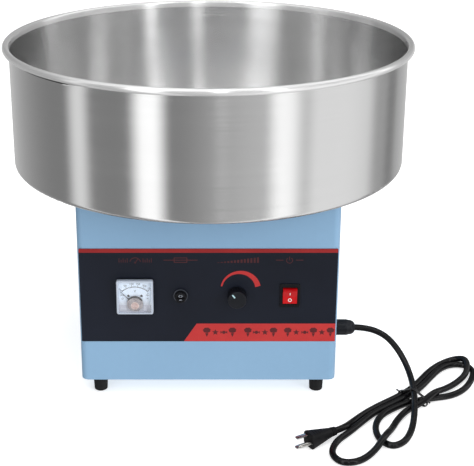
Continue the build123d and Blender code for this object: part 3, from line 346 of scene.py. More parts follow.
# --- stainless sheet, brushed round the bowl --------------------------------
def brushed(name, base, rough, spread, aniso, across=520.0, scratch=0.6, grain=0.0007, inner=None):
    """inner gives (colour, roughness) of the bowl's interior, whose colour is painted lighter than the outer wall as
    painted light; the curled rim is painted paler still and made partly non-metallic, also as painted light.
    """
    a = Mat(name, Metallic=1.0, Anisotropic=aniso)
    a.b.inputs["Anisotropic Rotation"].default_value = 0.25
    t = a.node("ShaderNodeTangent", direction_type="RADIAL", axis="Z")
    a.link(t.outputs[0], a.b.inputs["Tangent"])
    fine = a.noise(1.0, 2.0, 0.55, a.ring_coord(across, 1.6))
    broad = a.noise(1.0, 2.0, 0.5, a.ring_coord(across * 0.13, 0.7))
    soft = a.noise(7.0, 3.0, 0.5)
    lines = a.math("ADD", a.math("MULTIPLY", fine, 0.6), a.math("MULTIPLY", broad, 0.4))
    tone = a.mix(a.span(lines, 0.3, 0.7, 0, 1), (1 - 0.07 * scratch,) * 3, (1.0, 1.0, 1.0))
    tone = a.mix(a.span(soft, 0.35, 0.75, 0, 0.35), tone, (0.97, 0.97, 0.97))
    r = a.math("ADD", a.span(lines, 0.3, 0.7, -spread, spread), a.span(soft, 0.3, 0.7, -spread * 0.4, spread * 0.4))
    if inner:
        # painted light: the bowl's interior and its curled rim get lighter colours than the outer wall, standing in for
        # the light they catch
        x, y, z = a.xyz()
        rad = a.math("SQRT", a.math("ADD", a.math("MULTIPLY", x, x), a.math("MULTIPLY", y, y)))
        over = a.math("MAXIMUM", a.math("SUBTRACT", rad, 0.246), 0.0)
        under = a.math("MAXIMUM", a.math("SUBTRACT", 0.278, z), 0.0)
        skin = a.math("SQRT", a.math("ADD", a.math("MULTIPLY", over, over), a.math("MULTIPLY", under, under)))
        painted_light_inside = a.math("MAXIMUM", a.span(skin, 0.0055, 0.0057, 1.0, 0.0), a.span(z, 0.4205, 0.4210, 0.0, 1.0))
        painted_pale_bead = a.span(z, 0.4205, 0.4215, 0.0, 1.0)
        a.link(a.span(painted_pale_bead, 0.0, 1.0, 1.0, 0.62), a.b.inputs["Metallic"])
        col = a.mix(painted_light_inside, base, inner[0])
        col = a.mix(painted_pale_bead, col, (0.86, 0.86, 0.86))
        r = a.math("ADD", r, a.span(painted_light_inside, 0.0, 1.0, rough, inner[1]))
    else:
        col = a.mix(0.0, base, base)
        r = a.math("ADD", r, rough)
    a.colour(a.mix(1.0, col, tone, "MULTIPLY"))
    a.rough(r)
    a.bump(lines, grain, 0.4)
    return a.m


# bowl steel: outer wall 0.70, with its interior painted lighter at 0.80 as painted light
M["bowl_steel"] = brushed("bowl_brushed_steel", (0.70, 0.70, 0.70), 0.165, 0.02, 1.0, inner=((0.80, 0.80, 0.80), 0.25))
M["stainless"] = brushed("stainless_sheet", (0.84, 0.84, 0.845), 0.28, 0.04, 0.8)
M["spun_aluminium"] = brushed("turned_aluminium", (0.74, 0.745, 0.755), 0.24, 0.05, 0.7, across=2600.0, scratch=1.6, grain=0.003)


def metal(name, base, rough, spread=0.06, scale=160.0, bump=0.004, spots=None, fine=1800.0):
    a = Mat(name, Metallic=1.0)
    n = a.noise(scale, 3.0, 0.6)
    f = a.noise(fine, 2.0, 0.5)
    col = a.mix(a.span(n, 0.3, 0.7, 0, 1), tuple(c * 0.86 for c in base), tuple(min(1, c * 1.08) for c in base))
    if spots:
        col = a.mix(a.span(a.noise(scale * 0.35, 4.0, 0.65), 0.52, 0.72, 0, 0.75), col, spots)
    a.colour(col)
    a.rough(a.math("ADD", a.span(n, 0.3, 0.7, rough - spread, rough + spread), a.span(f, 0.3, 0.7, -0.02, 0.02)))
    a.bump(f, bump, 0.6)
    return a.m


M["zinc_steel"] = metal("zinc_plated_steel", (0.62, 0.63, 0.62), 0.34, 0.08, 220.0, 0.003, spots=(0.52, 0.54, 0.50))
M["bearing_steel"] = metal("ground_steel", (0.64, 0.64, 0.66), 0.20, 0.04, 300.0, 0.001)
M["cast_alu"] = metal("die_cast_aluminium", (0.55, 0.55, 0.56), 0.48, 0.08, 500.0, 0.02, fine=1300.0)
M["laminated_steel"] = metal("laminated_core", (0.22, 0.22, 0.235), 0.45, 0.08, 200.0, 0.01, spots=(0.12, 0.09, 0.075))
M["brass"] = metal("brass", (0.78, 0.60, 0.30), 0.28, 0.07, 260.0, 0.003, spots=(0.55, 0.40, 0.20))
M["nickel"] = metal("nickel_plate", (0.56, 0.55, 0.53), 0.24, 0.06, 300.0, 0.002)
M["magnet_grey"] = metal("sintered_magnet", (0.16, 0.155, 0.15), 0.55, 0.06, 500.0, 0.012)
M["nichrome"] = metal("oxidised_ribbon", (0.27, 0.22, 0.19), 0.50, 0.10, 240.0, 0.01, spots=(0.10, 0.09, 0.11))

# enamelled copper: fine turns of wire
a = Mat("enamelled_copper", Metallic=1.0)
wire = a.noise((120.0, 120.0, 2600.0), 1.0, 0.4)
shade = a.noise(140.0, 3.0, 0.6)
a.colour(a.mix(a.span(shade, 0.3, 0.7, 0, 1), (0.42, 0.15, 0.06), (0.66, 0.30, 0.14)))
a.rough(a.span(wire, 0.3, 0.7, 0.22, 0.40))
a.bump(wire, 0.06, 0.7)
M["copper"] = a.m

# --- painted housing --------------------------------------------------------
def powder_coat(name, base, light):
    a = Mat(name, Specular_IOR_Level=0.42)
    a.b.inputs["Coat Weight"].default_value = 0.12
    a.b.inputs["Coat Roughness"].default_value = 0.22
    cloud = a.noise(5.0, 3.0, 0.55)
    mottled = a.noise(130.0, 3.0, 0.6)
    col = a.mix(a.span(cloud, 0.3, 0.7, 0, 1), base, light)
    col = a.mix(a.span(mottled, 0.35, 0.75, 0, 0.22), col, tuple(c * 0.93 for c in base))
    # a few tiny nibs in the paint
    nib = a.span(a.cells(95.0), 0.0, 0.055, 1.0, 0.0)
    col = a.mix(a.math("MULTIPLY", nib, 0.25), col, tuple(c * 0.7 for c in base))
    a.colour(col)
    peel = a.noise(620.0, 2.0, 0.45)
    fine = a.noise(2100.0, 2.0, 0.5)
    a.rough(a.math("ADD", a.span(mottled, 0.3, 0.7, 0.36, 0.46), a.span(fine, 0.3, 0.7, -0.03, 0.03)))
    a.bump(peel, 0.020, 0.55)
    a.bump(fine, 0.005, 0.5)
    a.bump(nib, 0.012, 0.5)
    return a.m


M["blue_paint"] = powder_coat("pale_blue_powder_coat", srgb(136, 174, 207), srgb(141, 179, 211))

# --- printed control sheet --------------------------------------------------
a = Mat("printed_panel_sheet", Specular_IOR_Level=0.28)
grain = a.noise(2600.0, 2.0, 0.55)
cloud = a.noise(9.0, 3.0, 0.5)
a.colour(a.mix(a.span(cloud, 0.3, 0.7, 0, 1), srgb(13, 18, 31), srgb(18, 24, 38)))
a.rough(a.math("ADD", a.span(grain, 0.3, 0.7, 0.46, 0.58), a.span(cloud, 0.3, 0.7, -0.03, 0.03)))
a.bump(grain, 0.010, 0.6)
M["panel_black"] = a.m


def ink(name, lo, hi, rough=0.5):
    a = Mat(name, Specular_IOR_Level=0.35)
    grain = a.noise(2600.0, 2.0, 0.55)
    cloud = a.noise(24.0, 3.0, 0.6)
    a.colour(a.mix(a.span(a.math("ADD", a.math("MULTIPLY", cloud, 0.7), a.math("MULTIPLY", grain, 0.3)), 0.35, 0.65, 0, 1), lo, hi))
    a.rough(a.span(grain, 0.3, 0.7, rough - 0.06, rough + 0.06))
    a.bump(grain, 0.008, 0.5)
    return a.m


RED_INK = ink("red_print", srgb(188, 44, 46), srgb(198, 54, 52))
STRIPE_INK = ink("deep_red_print", srgb(146, 26, 28), srgb(158, 34, 34))
LABEL_INK = ink("maroon_print", srgb(70, 27, 32), srgb(80, 32, 36))
MARK_INK = ink("dark_maroon_print", srgb(84, 26, 32), srgb(98, 34, 38))
SCALE_INK = ink("scale_print", srgb(18, 22, 32), srgb(28, 33, 46))
WHITE_INK = ink("white_print", srgb(232, 228, 224), srgb(244, 240, 236), 0.42)


# --- plastics and rubber ----------------------------------------------------
def plastic(name, lo, hi, rough=(0.40, 0.52), grain=1500.0, depth=0.012, spec=0.5, coat=0.0, cloud=60.0, wave=0.0):
    a = Mat(name, Specular_IOR_Level=spec)
    if coat:
        a.b.inputs["Coat Weight"].default_value = coat
        a.b.inputs["Coat Roughness"].default_value = 0.09
    c = a.noise(cloud, 3.0, 0.55)
    g = a.noise(grain, 2.0, 0.5)
    a.colour(a.mix(a.span(c, 0.3, 0.7, 0, 1), lo, hi))
    a.rough(a.math("ADD", a.span(g, 0.3, 0.7, rough[0], rough[1]), a.span(c, 0.3, 0.7, -0.03, 0.03)))
    a.bump(g, depth, 0.5)
    if wave:
        a.bump(c, wave, 0.4)
    return a.m


M["black_plastic"] = plastic("moulded_black_plastic", srgb(10, 13, 20), srgb(16, 19, 27), (0.38, 0.50), 1300.0, 0.014, spec=0.35)
M["gloss_black"] = plastic("glossy_black_plastic", srgb(10, 11, 15), srgb(16, 17, 21), (0.20, 0.28), 900.0, 0.002, spec=0.25, wave=0.01)
M["black_rubber"] = plastic("moulded_rubber", srgb(15, 15, 17), srgb(24, 24, 26), (0.56, 0.72), 1100.0, 0.03, spec=0.28)
M["rocker_red"] = plastic("glossy_red_plastic", srgb(188, 4, 12), srgb(204, 10, 18), (0.20, 0.28), 900.0, 0.002, spec=0.3, coat=0.06, wave=0.008)
M["pointer_cyan"] = plastic("pale_inlay", srgb(176, 214, 224), srgb(198, 232, 238), (0.30, 0.40), 1500.0, 0.006)
M["bakelite"] = plastic("brown_phenolic", (0.075, 0.028, 0.014), (0.13, 0.05, 0.022), (0.26, 0.36), 800.0, 0.008, cloud=400.0)
M["carbon"] = plastic("carbon_brush", (0.028, 0.028, 0.03), (0.06, 0.06, 0.062), (0.45, 0.6), 2200.0, 0.02, cloud=900.0)
M["wire_insulation"] = plastic("wire_insulation", (0.30, 0.03, 0.025), (0.42, 0.05, 0.035), (0.32, 0.42), 900.0, 0.006, cloud=120.0)
M["white_nylon"] = plastic("white_nylon", (0.66, 0.66, 0.62), (0.76, 0.76, 0.72), (0.42, 0.52), 1200.0, 0.01, cloud=180.0)
M["needle_dark"] = plastic("needle_paint", (0.012, 0.012, 0.014), (0.03, 0.03, 0.032), (0.35, 0.45), 1400.0, 0.004)
M["plug_black"] = plastic("soft_moulded_plug", srgb(12, 12, 14), srgb(20, 20, 22), (0.44, 0.58), 1500.0, 0.022, spec=0.2)

# --- cord jacket ------------------------------------------------------------
a = Mat("rubber_jacket", Specular_IOR_Level=0.14)
c = a.noise(70.0, 3.0, 0.6)
g = a.noise(1700.0, 2.0, 0.5)
a.colour(a.mix(a.span(c, 0.3, 0.7, 0, 1), srgb(9, 9, 11), srgb(16, 16, 18)))
a.rough(a.math("ADD", a.span(g, 0.3, 0.7, 0.20, 0.30), a.span(c, 0.3, 0.7, -0.04, 0.04)))
a.b.inputs["Coat Weight"].default_value = 0.2
a.b.inputs["Coat Roughness"].default_value = 0.06
a.bump(g, 0.010, 0.5)
a.bump(c, 0.08, 0.3)
M["cord_black"] = a.m
power_lead.data.materials.append(a.m)

# --- printed circuit board ---------------------------------------------------
a = Mat("solder_mask_board", Specular_IOR_Level=0.5)
tracks = a.cells((420.0, 260.0, 260.0))
c = a.noise(300.0, 3.0, 0.6)
col = a.mix(a.span(tracks, 0.34, 0.40, 0.0, 1.0), (0.012, 0.10, 0.045), (0.02, 0.18, 0.07))
a.colour(a.mix(a.span(c, 0.3, 0.7, 0, 0.4), col, (0.015, 0.13, 0.05)))
a.rough(a.span(c, 0.3, 0.7, 0.28, 0.42))
a.bump(a.span(tracks, 0.34, 0.40, 0.0, 1.0), 0.05, 0.6)
M["circuit_board"] = a.m

# --- meter dial: printed plate, with painted shade greying it towards its foot ---
a = Mat("meter_dial_plate", Specular_IOR_Level=0.35)
x, y, z = a.xyz()
painted_foot_shade = a.span(z, 0.1240, 0.1420, 1.0, 0.0, "SMOOTHSTEP")
g = a.noise(1800.0, 2.0, 0.5)
c = a.noise(90.0, 3.0, 0.5)
col = a.mix(a.span(c, 0.3, 0.7, 0, 1), srgb(226, 238, 252), srgb(232, 243, 254))
# painted shade: the lower half of the dial is mixed towards grey
col = a.mix(a.math("MULTIPLY", painted_foot_shade, 0.75), col, srgb(190, 188, 192))
a.colour(col)
a.rough(a.span(g, 0.3, 0.7, 0.38, 0.48))
a.bump(g, 0.006, 0.5)
M["dial_white"] = a.m


# --- clear plastic and glass -------------------------------------------------
def clear(name, tint, rough, edge=None):
    """Thin clear moulding that lets lamps through; edge gives the rectangle outside which it is polished-edge white."""
    a = Mat(name, Specular_IOR_Level=0.5)
    a.b.inputs["Transmission Weight"].default_value = 1.0
    a.b.inputs["IOR"].default_value = 1.49
    n = a.noise(260.0, 2.0, 0.5)
    f = a.noise(1500.0, 2.0, 0.5)
    a.colour(a.mix(a.span(n, 0.3, 0.7, 0, 1), tint, tuple(min(1.0, c * 1.03) for c in tint)))
    a.rough(a.span(f, 0.3, 0.7, rough, rough + 0.03))
    a.bump(n, 0.006, 0.3)
    through = a.node("ShaderNodeBsdfTransparent")
    through.inputs[0].default_value = (*tint, 1.0)
    mixer = a.node("ShaderNodeMixShader")
    path = a.node("ShaderNodeLightPath")
    a.link(path.outputs["Is Shadow Ray"], mixer.inputs[0])
    a.link(a.b.outputs[0], mixer.inputs[1])
    a.link(through.outputs[0], mixer.inputs[2])
    last = mixer.outputs[0]
    if edge:
        cx, cz, half = edge
        x, y, z = a.xyz()
        dx = a.math("ABSOLUTE", a.math("SUBTRACT", x, cx))
        dz = a.math("ABSOLUTE", a.math("SUBTRACT", z, cz))
        m = a.span(a.math("MAXIMUM", dx, dz), half - 0.0001, half + 0.0001, 0.0, 0.80)
        white = a.node("ShaderNodeBsdfPrincipled")
        a.link(a.mix(a.span(n, 0.3, 0.7, 0, 1), srgb(205, 216, 232), srgb(214, 224, 238)), white.inputs["Base Color"])
        a.link(a.span(f, 0.3, 0.7, 0.28, 0.40), white.inputs["Roughness"])
        em = a.node("ShaderNodeMixShader")
        a.link(m, em.inputs[0])
        a.link(last, em.inputs[1])
        a.link(white.outputs[0], em.inputs[2])
        last = em.outputs[0]
    a.link(last, a.out.inputs[0])
    return a.m


METER_X, METER_Z = -0.090, 0.1415
M["clear_plastic"] = clear("clear_meter_cover", (0.97, 0.98, 1.0), 0.03, (METER_X, METER_Z, 0.0200))
M["glass_tube"] = clear("fuse_glass", (0.93, 0.97, 0.96), 0.02)

for name, ob in nodes.items():
    slot = ob.material_slots[0].material.name.split(".")[0]
    ob.material_slots[0].material = M[slot]
nodes["bowl_floor"].material_slots[0].material = M["bowl_steel"]
nodes["meter_dial_screws"].material_slots[0].material = M["needle_dark"]

# ---------------------------------------------------------------------------
# Bowl wall: rolled sheet with a curled rim and its lapped joint
# ---------------------------------------------------------------------------
RIM_C, RIM_Z, RIM_R = 255.7, 425.7, 4.3
profile = [(251.2, 281.0), (251.2, 300.0), (251.2, 340.0), (251.2, 380.0), (251.2, 410.0), (251.2, 420.0), (251.22, 424.0)]
profile += [(RIM_C + RIM_R * math.cos(math.radians(t)), RIM_Z + RIM_R * math.sin(math.radians(t))) for t in range(178, -141, -6)]
profile += [(252.05, 421.2), (252.0, 420.4), (252.0, 410.0), (252.0, 380.0), (252.0, 340.0), (252.0, 300.0), (252.0, 281.0)]
bowl = make("bowl_wall_rolled", *lathe(profile, 720), M["bowl_steel"], "bowl", "bowl_steel", angle=40)
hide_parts("bowl_wall")

# lapped end of the curl, seen from the front left
lap, steps = [], 60
A0, A1 = -124.8, -133.0
for k in range(steps + 1):
    t = k / steps
    ang = math.radians(A0 + (A1 - A0) * t)
    size = min(1.0, t / 0.10) * (1.0 - max(0.0, (t - 0.55) / 0.45) ** 1.5)
    ring = []
    for j in range(12):
        b = 2 * math.pi * j / 12
        rr = 253.1 + (0.95 * size + 0.05) * math.cos(b)
        zz = 420.9 + (0.95 * size + 0.05) * math.sin(b)
        ring.append((rr * math.cos(ang), rr * math.sin(ang), zz))
    lap.append(ring)
verts = [p for ring in lap for p in ring]
faces = [(k * 12 + j, k * 12 + (j + 1) % 12, (k + 1) * 12 + (j + 1) % 12, (k + 1) * 12 + j) for k in range(steps) for j in range(12)]
faces += [tuple(range(12))[::-1], tuple(steps * 12 + j for j in range(12))]
make("rim_curl_lap", verts, faces, M["bowl_steel"], "bowl", "bowl_steel", angle=50)

# the hem stays slightly open beyond the lap: a thin ledge under the gap, whose shadow is painted on as a dark strip
hem_shadow_paint = plastic("hem_painted_shadow", srgb(26, 25, 26), srgb(44, 42, 43), (0.5, 0.62), 900.0, 0.01, cloud=120.0)


def hem(z_top, z_bottom, r_out, a0, a1, steps=64):
    verts = []
    for k in range(steps + 1):
        t = k / steps
        ang = math.radians(a0 + (a1 - a0) * t)
        w = min(1.0, t / 0.12, (1.0 - t) / 0.30)
        zt, zb = z_top, z_top - (z_top - z_bottom) * max(0.05, w)
        ro = 252.0 + (r_out - 252.0) * max(0.08, w)
        verts += [(r * math.cos(ang), r * math.sin(ang), z) for r, z in ((251.9, zb), (ro, zb), (ro, zt), (251.9, zt))]
    faces = [(k * 4 + j, k * 4 + (j + 1) % 4, (k + 1) * 4 + (j + 1) % 4, (k + 1) * 4 + j) for k in range(steps) for j in range(4)]
    return verts, faces + [(0, 1, 2, 3), tuple(steps * 4 + j for j in range(4))[::-1]]


# painted shadow: a dark strip in the hem's gap
make("hem_painted_shadow", *hem(421.4, 418.8, 252.35, -125.2, -157.0), hem_shadow_paint, "bowl", "bowl_steel", angle=50)
make("hem_ledge", *hem(418.75, 417.6, 253.0, -126.5, -155.0), M["bowl_steel"], "bowl", "bowl_steel", angle=50)

# resistance spot welds that hold the foot of the hub lip to the floor
welds = []
for k in range(16):
    a = math.radians(360 / 16 * k + 8)
    cx, cy = 101.2 * math.cos(a), 101.2 * math.sin(a)
    prof = [(0.0, 273.86), (0.7, 273.85), (1.2, 273.80), (1.7, 273.68), (2.0, 273.58)]
    v, f = lathe(prof[1:], 20, closed=False, centre=(cx, cy))
    f.append(tuple(range(0, 20 * 4, 4)))
    base = [i * 4 + 3 for i in range(20)]
    f.append(tuple(base)[::-1])
    welds.append((v, f))
make("hub_spot_welds", *join_parts(welds), M["stainless"], "bowl", "stainless", angle=60)


# ---------------------------------------------------------------------------
# Printed graphics of the control panel
# ---------------------------------------------------------------------------
OVER_Y = -155.6


def face_xz(a, b, h):
    """Point on the panel: a to the right, b up, h out of it."""
    return (a, OVER_Y - h, b)


def printed(name, outlines, material, thick=0.05, body="root", slot="panel_black"):
    parts = [prism(o, face_xz, -0.02, thick) for o in outlines]
    return make(name, *join_parts(parts), material, body, slot, smooth=False)


printed("panel_top_stripe", [rect(-157.4, 198.2, 157.4, 203.4)], STRIPE_INK)
printed("panel_title_band", [[(-30.5, 78.6), (157.4, 78.6), (157.4, 103.0), (-14.5, 103.0)]], RED_INK)

KNOB_X, CTRL_Z, FUSE_X, SWITCH_X = 35.0, 141.5, -34.0, 100.0
ox, oz, orr = three_point_circle((-19.9, 12.2), (4.4, 32.8), (28.7, 13.0))
ix, iz, irr = three_point_circle((-17.9, 12.2), (4.6, 28.5), (22.3, 11.0))
oa0, oa1 = (math.degrees(math.atan2(b - oz, a - ox)) for a, b in ((-19.9, 12.2), (28.7, 13.0)))
ia0, ia1 = (math.degrees(math.atan2(b - iz, a - ix)) for a, b in ((-17.9, 12.2), (22.3, 11.0)))
crescent = [(a + KNOB_X, b + CTRL_Z) for a, b in arc_pts(ox, oz, orr, oa0, oa1, 60) + arc_pts(ix, iz, irr, ia1, ia0, 60)]
printed("heat_crescent", [crescent], RED_INK)

# generic signs over the four controls
LZ = 188.5
signs = []
# gauge: small dial with its hand, and rows of scale ticks
signs.append(arc_band(-89.0, 185.0, 6.0, 7.1, 12, 168, 28))
signs.append(bar(-89.0, 185.2, -85.4, 190.2, 1.0))
signs.append(circle(-89.0, 185.2, 1.2, 16))
for s in (-1, 1):
    for k in range(5):
        h = 5.6 if k % 2 == 0 else 3.6
        signs.append(rect(-89 + s * (9.6 + 2.5 * k) - 0.45, LZ - 3.2, -89 + s * (9.6 + 2.5 * k) + 0.45, LZ - 3.2 + h))
# fuse: box on a line
signs += [rect(-54.6, LZ - 0.5, -42.2, LZ + 0.5), rect(-25.6, LZ - 0.5, -13.0, LZ + 0.5), rect(-41.0, LZ - 0.5, -26.8, LZ + 0.5)]
signs += [rect(-42.2, LZ - 3.4, -25.6, LZ - 2.4), rect(-42.2, LZ + 2.4, -25.6, LZ + 3.4), rect(-42.2, LZ - 2.4, -41.0, LZ + 2.4), rect(-26.8, LZ - 2.4, -25.6, LZ + 2.4)]
# heat: steps that rise to the right
for k in range(13):
    signs.append(rect(11.0 + 4.0 * k, LZ - 3.6, 13.4 + 4.0 * k, LZ - 3.0 + 0.55 * k))
# power: broken circle with a stroke, between two short rules
signs.append(arc_band(98.6, LZ - 0.4, 3.1, 4.1, 125, 415, 40))
signs.append(rect(98.1, LZ - 0.3, 99.1, LZ + 4.6))
signs += [rect(82.0, LZ - 0.5, 91.0, LZ + 0.5), rect(106.2, LZ - 0.5, 115.4, LZ + 0.5)]
printed("panel_signs", signs, LABEL_INK)


# ornament on the title band: candy floss on its cone, with rules between
def floss(cx, cz, s):
    puff = []
    for i in range(72):
        t = 2 * math.pi * i / 72
        r = s * (3.55 + 0.55 * abs(math.sin(3.5 * t + 0.5)))
        puff.append((cx + r * 1.18 * math.cos(t), cz + 2.1 * s + r * 0.92 * math.sin(t)))
    cone = [(cx - 2.0 * s, cz - 1.95 * s), (cx + 2.0 * s, cz - 1.95 * s), (cx + 0.25 * s, cz - 6.6 * s), (cx - 0.25 * s, cz - 6.6 * s)]
    return [puff, cone]


def star(cx, cz, r, points=5):
    return [(cx + (r if i % 2 == 0 else r * 0.45) * math.sin(math.pi * i / points), cz + (r if i % 2 == 0 else r * 0.45) * math.cos(math.pi * i / points)) for i in range(2 * points)]


def sweet(cx, cz, s):
    """Wrapped sweet."""
    return [circle(cx, cz, 2.3 * s, 28), [(cx - 2.0 * s, cz), (cx - 4.3 * s, cz + 2.1 * s), (cx - 4.3 * s, cz - 2.1 * s)], [(cx + 2.0 * s, cz), (cx + 4.3 * s, cz - 2.1 * s), (cx + 4.3 * s, cz + 2.1 * s)]]


orn = []
for x0, kinds in ((-2.0, "fsbf"), (49.0, "fbsf"), (98.5, "fsbfsf")):
    for k, kind in enumerate(kinds):
        cx = x0 + 10.6 * k
        if kind == "f":
            orn += floss(cx, 91.7, 1.02)
        elif kind == "s":
            orn.append(star(cx, 91.0, 4.3))
        else:
            orn += sweet(cx, 91.0, 0.98)
parts = [prism(o, face_xz, 0.04, 0.09) for o in orn]
make("band_ornament", *join_parts(parts), MARK_INK, "root", "panel_black", smooth=False)

# ---------------------------------------------------------------------------
# Voltmeter: printed scale, numbers, movement window, lower mask
# ---------------------------------------------------------------------------
DIAL_Y, MX, PZ = -158.6, -90.0, 131.0


def dial_xz(a, b, h):
    return (MX + a, DIAL_Y - h, PZ + b)


def polar(r, deg):
    """Point on the dial; deg is measured from upright, positive to the right."""
    t = math.radians(deg)
    return (r * math.sin(t), r * math.cos(t))


marks = [arc_band(0, 0, 22.9, 23.55, 48, 132, 60)]
for k in range(26):
    deg = -42 + 84 * k / 25
    length = 2.6 if k % 5 == 0 else 1.3
    marks.append(bar(*polar(23.3, deg), *polar(23.3 + length, deg), 0.5 if k % 5 == 0 else 0.28))
# type marks of the movement, as plain signs
marks += [rect(-17.6, 12.0, -13.4, 12.5), rect(-17.6, 12.9, -13.4, 13.1), rect(13.4, 12.0, 17.6, 12.5), bar(14.0, 13.2, 17.0, 14.6, 0.3)]
marks += [arc_band(-15.4, 7.6, 0.9, 1.2, 0, 350, 24), bar(14.2, 6.9, 16.4, 8.7, 0.35), bar(16.4, 6.9, 14.2, 8.7, 0.35)]
make("meter_scale_print", *join_parts([prism(o, dial_xz, -0.01, 0.03) for o in marks]), SCALE_INK, "root", "dial_white", smooth=False)


def figure(text, size, x, z, turn, name):
    """A number as a thin solid on the dial."""
    t = bpy.data.curves.new(name, "FONT")
    t.body = text
    t.size = size * MM
    t.align_x, t.align_y = "CENTER", "CENTER"
    t.extrude = 0.012 * MM
    t.resolution_u = 3
    ob = link(bpy.data.objects.new(name + "_shape", t))
    bpy.context.view_layer.update()
    mesh = bpy.data.meshes.new_from_object(ob.evaluated_get(bpy.context.evaluated_depsgraph_get()))
    bpy.data.objects.remove(ob)
    place = Matrix.Translation((x * MM, (DIAL_Y - 0.022) * MM, z * MM)) @ Matrix.Rotation(math.radians(turn), 4, "Y") @ Matrix.Rotation(math.radians(90), 4, "X")
    mesh.transform(place)
    return mesh


bm = bmesh.new()
for k, text in enumerate(("0", "50", "100", "150", "200", "250")):
    deg = -42 + 84 * k / 5
    px, pz = polar(27.4, deg)
    mesh = figure(text, 3.7, MX + px, PZ + pz, deg * 0.85, "scale_figure")
    bm.from_mesh(mesh)
    bpy.data.meshes.remove(mesh)
mesh = figure("V", 4.4, MX, PZ + 17.6, 0, "unit_figure")
bm.from_mesh(mesh)
bpy.data.meshes.remove(mesh)
bmesh.ops.remove_doubles(bm, verts=bm.verts, dist=1e-7)
mesh = bpy.data.meshes.new("meter_scale_figures")
bm.to_mesh(mesh)
bm.free()
mesh.materials.append(SCALE_INK)
figures = link(bpy.data.objects.new("meter_scale_figures", mesh))
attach(figures, "root")

# movement window: round smoky hood in front of the needle's hub
hood = plastic("smoky_hood", srgb(128, 124, 128), srgb(168, 160, 160), (0.22, 0.34), 700.0, 0.01, cloud=330.0)
HX, HZ, HR = 0.0, 2.0, 9.9
make("movement_hood_front", *prism(circle(HX, HZ, HR - 0.5, 64), dial_xz, 2.45, 3.1), hood, "root", "black_plastic", bevel=0.22)
make("movement_hood_wall", *ring_prism(circle(HX, HZ, HR, 64), circle(HX, HZ, HR - 0.45, 64), dial_xz, 0.8, 2.9), hood, "root", "black_plastic", smooth=False)
brow = arc_pts(HX, HZ, HR + 0.35, 28, 152, 32) + arc_pts(HX, HZ - 1.3, HR - 0.35, 148, 32, 32)
make("movement_hood_brow", *prism(brow, dial_xz, 3.02, 3.22), M["black_plastic"], "root", "black_plastic", smooth=False)
coil = plastic("coil_former", srgb(196, 170, 164), srgb(226, 208, 202), (0.3, 0.42), 900.0, 0.02, cloud=620.0)
make("movement_coil_former", *prism(circle(0.0, -0.6, 4.9, 48), dial_xz, 3.05, 3.25), coil, "root", "copper", bevel=0.07)
hair = [ring_prism(circle(0.0, -0.6, 3.9 - 0.9 * k, 48), circle(0.0, -0.6, 3.6 - 0.9 * k, 48), dial_xz, 3.2, 3.34) for k in range(3)]
hair.append(prism(circle(0.0, -0.6, 0.8, 24), dial_xz, 3.2, 3.42))
make("movement_hair_spring", *join_parts(hair), plastic("hair_spring_tone", srgb(150, 112, 104), srgb(176, 140, 130), (0.3, 0.4), 1200.0, 0.004), "root", "brass", smooth=False)

# lower mask of the dial with fine ribs
ribs = []
for x0, x1 in ((-20.3, -9.3), (9.3, 20.3)):
    ribs.append(prism(rect(x0, -10.6, x1, -1.0), dial_xz, 0.02, 0.3))
ribs.append(prism(rect(-9.28, -10.6, 9.28, -8.2), dial_xz, 0.02, 0.3))
for k in range(6):
    z0 = -10.2 + 1.5 * k
    half = math.sqrt(max(0.0, 10.4 ** 2 - (z0 - 2.0) ** 2))
    if half < 1.0:
        ribs.append(prism(rect(-20.2, z0, 20.2, z0 + 0.5), dial_xz, 0.28, 0.52))
    else:
        ribs.append(prism(rect(-20.2, z0, -half - 0.1, z0 + 0.5), dial_xz, 0.28, 0.52))
        ribs.append(prism(rect(half + 0.1, z0, 20.2, z0 + 0.5), dial_xz, 0.28, 0.52))
mask = plastic("dial_mask_grey", srgb(186, 188, 198), srgb(200, 201, 209), (0.36, 0.46), 1500.0, 0.006)
make("meter_lower_mask", *join_parts(ribs), mask, "root", "dial_white", smooth=False)


# ---------------------------------------------------------------------------
# Marks on the fuse cap and the rocker
# ---------------------------------------------------------------------------
def cap_xz(a, b, h):
    return (FUSE_X + a, -163.8 - h, CTRL_Z + b)


pale = ink("pale_mark", srgb(150, 156, 168), srgb(176, 182, 192))
cap_marks = [rect(-1.9, 1.2, -1.5, 3.9), rect(1.5, 1.2, 1.9, 3.9), rect(-1.5, 1.2, 1.5, 1.55), rect(-1.5, 3.55, 1.5, 3.9), rect(-3.0, 2.4, -1.9, 2.7), rect(1.9, 2.4, 3.0, 2.7)]
cap_marks += [rect(-1.9, -3.2, 1.9, -2.85), rect(-1.3, -2.3, 1.3, -1.95)]
make("fuse_cap_mark", *join_parts([prism(o, cap_xz, -0.02, 0.04) for o in cap_marks]), pale, "fuse_carrier", "gloss_black", smooth=False)

# painted highlight: a lighter grey ring at the fuse flange's rim stands in for the highlight along its edge
flange_highlight_grey = plastic("fuse_flange_painted_highlight", srgb(84, 89, 100), srgb(104, 109, 120), (0.16, 0.24), 900.0, 0.003)


def flange_xz(a, b, h):
    return (FUSE_X + a, -157.8 - h, CTRL_Z + b)


make("fuse_flange_painted_highlight", *ring_prism(circle(0, 0, 8.68, 64), circle(0, 0, 8.1, 64), flange_xz, -0.05, 0.18), flange_highlight_grey, "root", "black_plastic", bevel=0.06)

tilt = math.radians(12.0)
U = Vector((0, -math.sin(tilt), math.cos(tilt)))
V = Vector((0, -math.cos(tilt), -math.sin(tilt)))
PIV = Vector((SWITCH_X, OVER_Y + 1.4, CTRL_Z))


def rocker_face(a, b, h):
    return tuple(PIV + Vector((a, 0, 0)) + U * b + V * (3.7 + (5.6 - 3.7) / 9.3 * abs(b) + h))


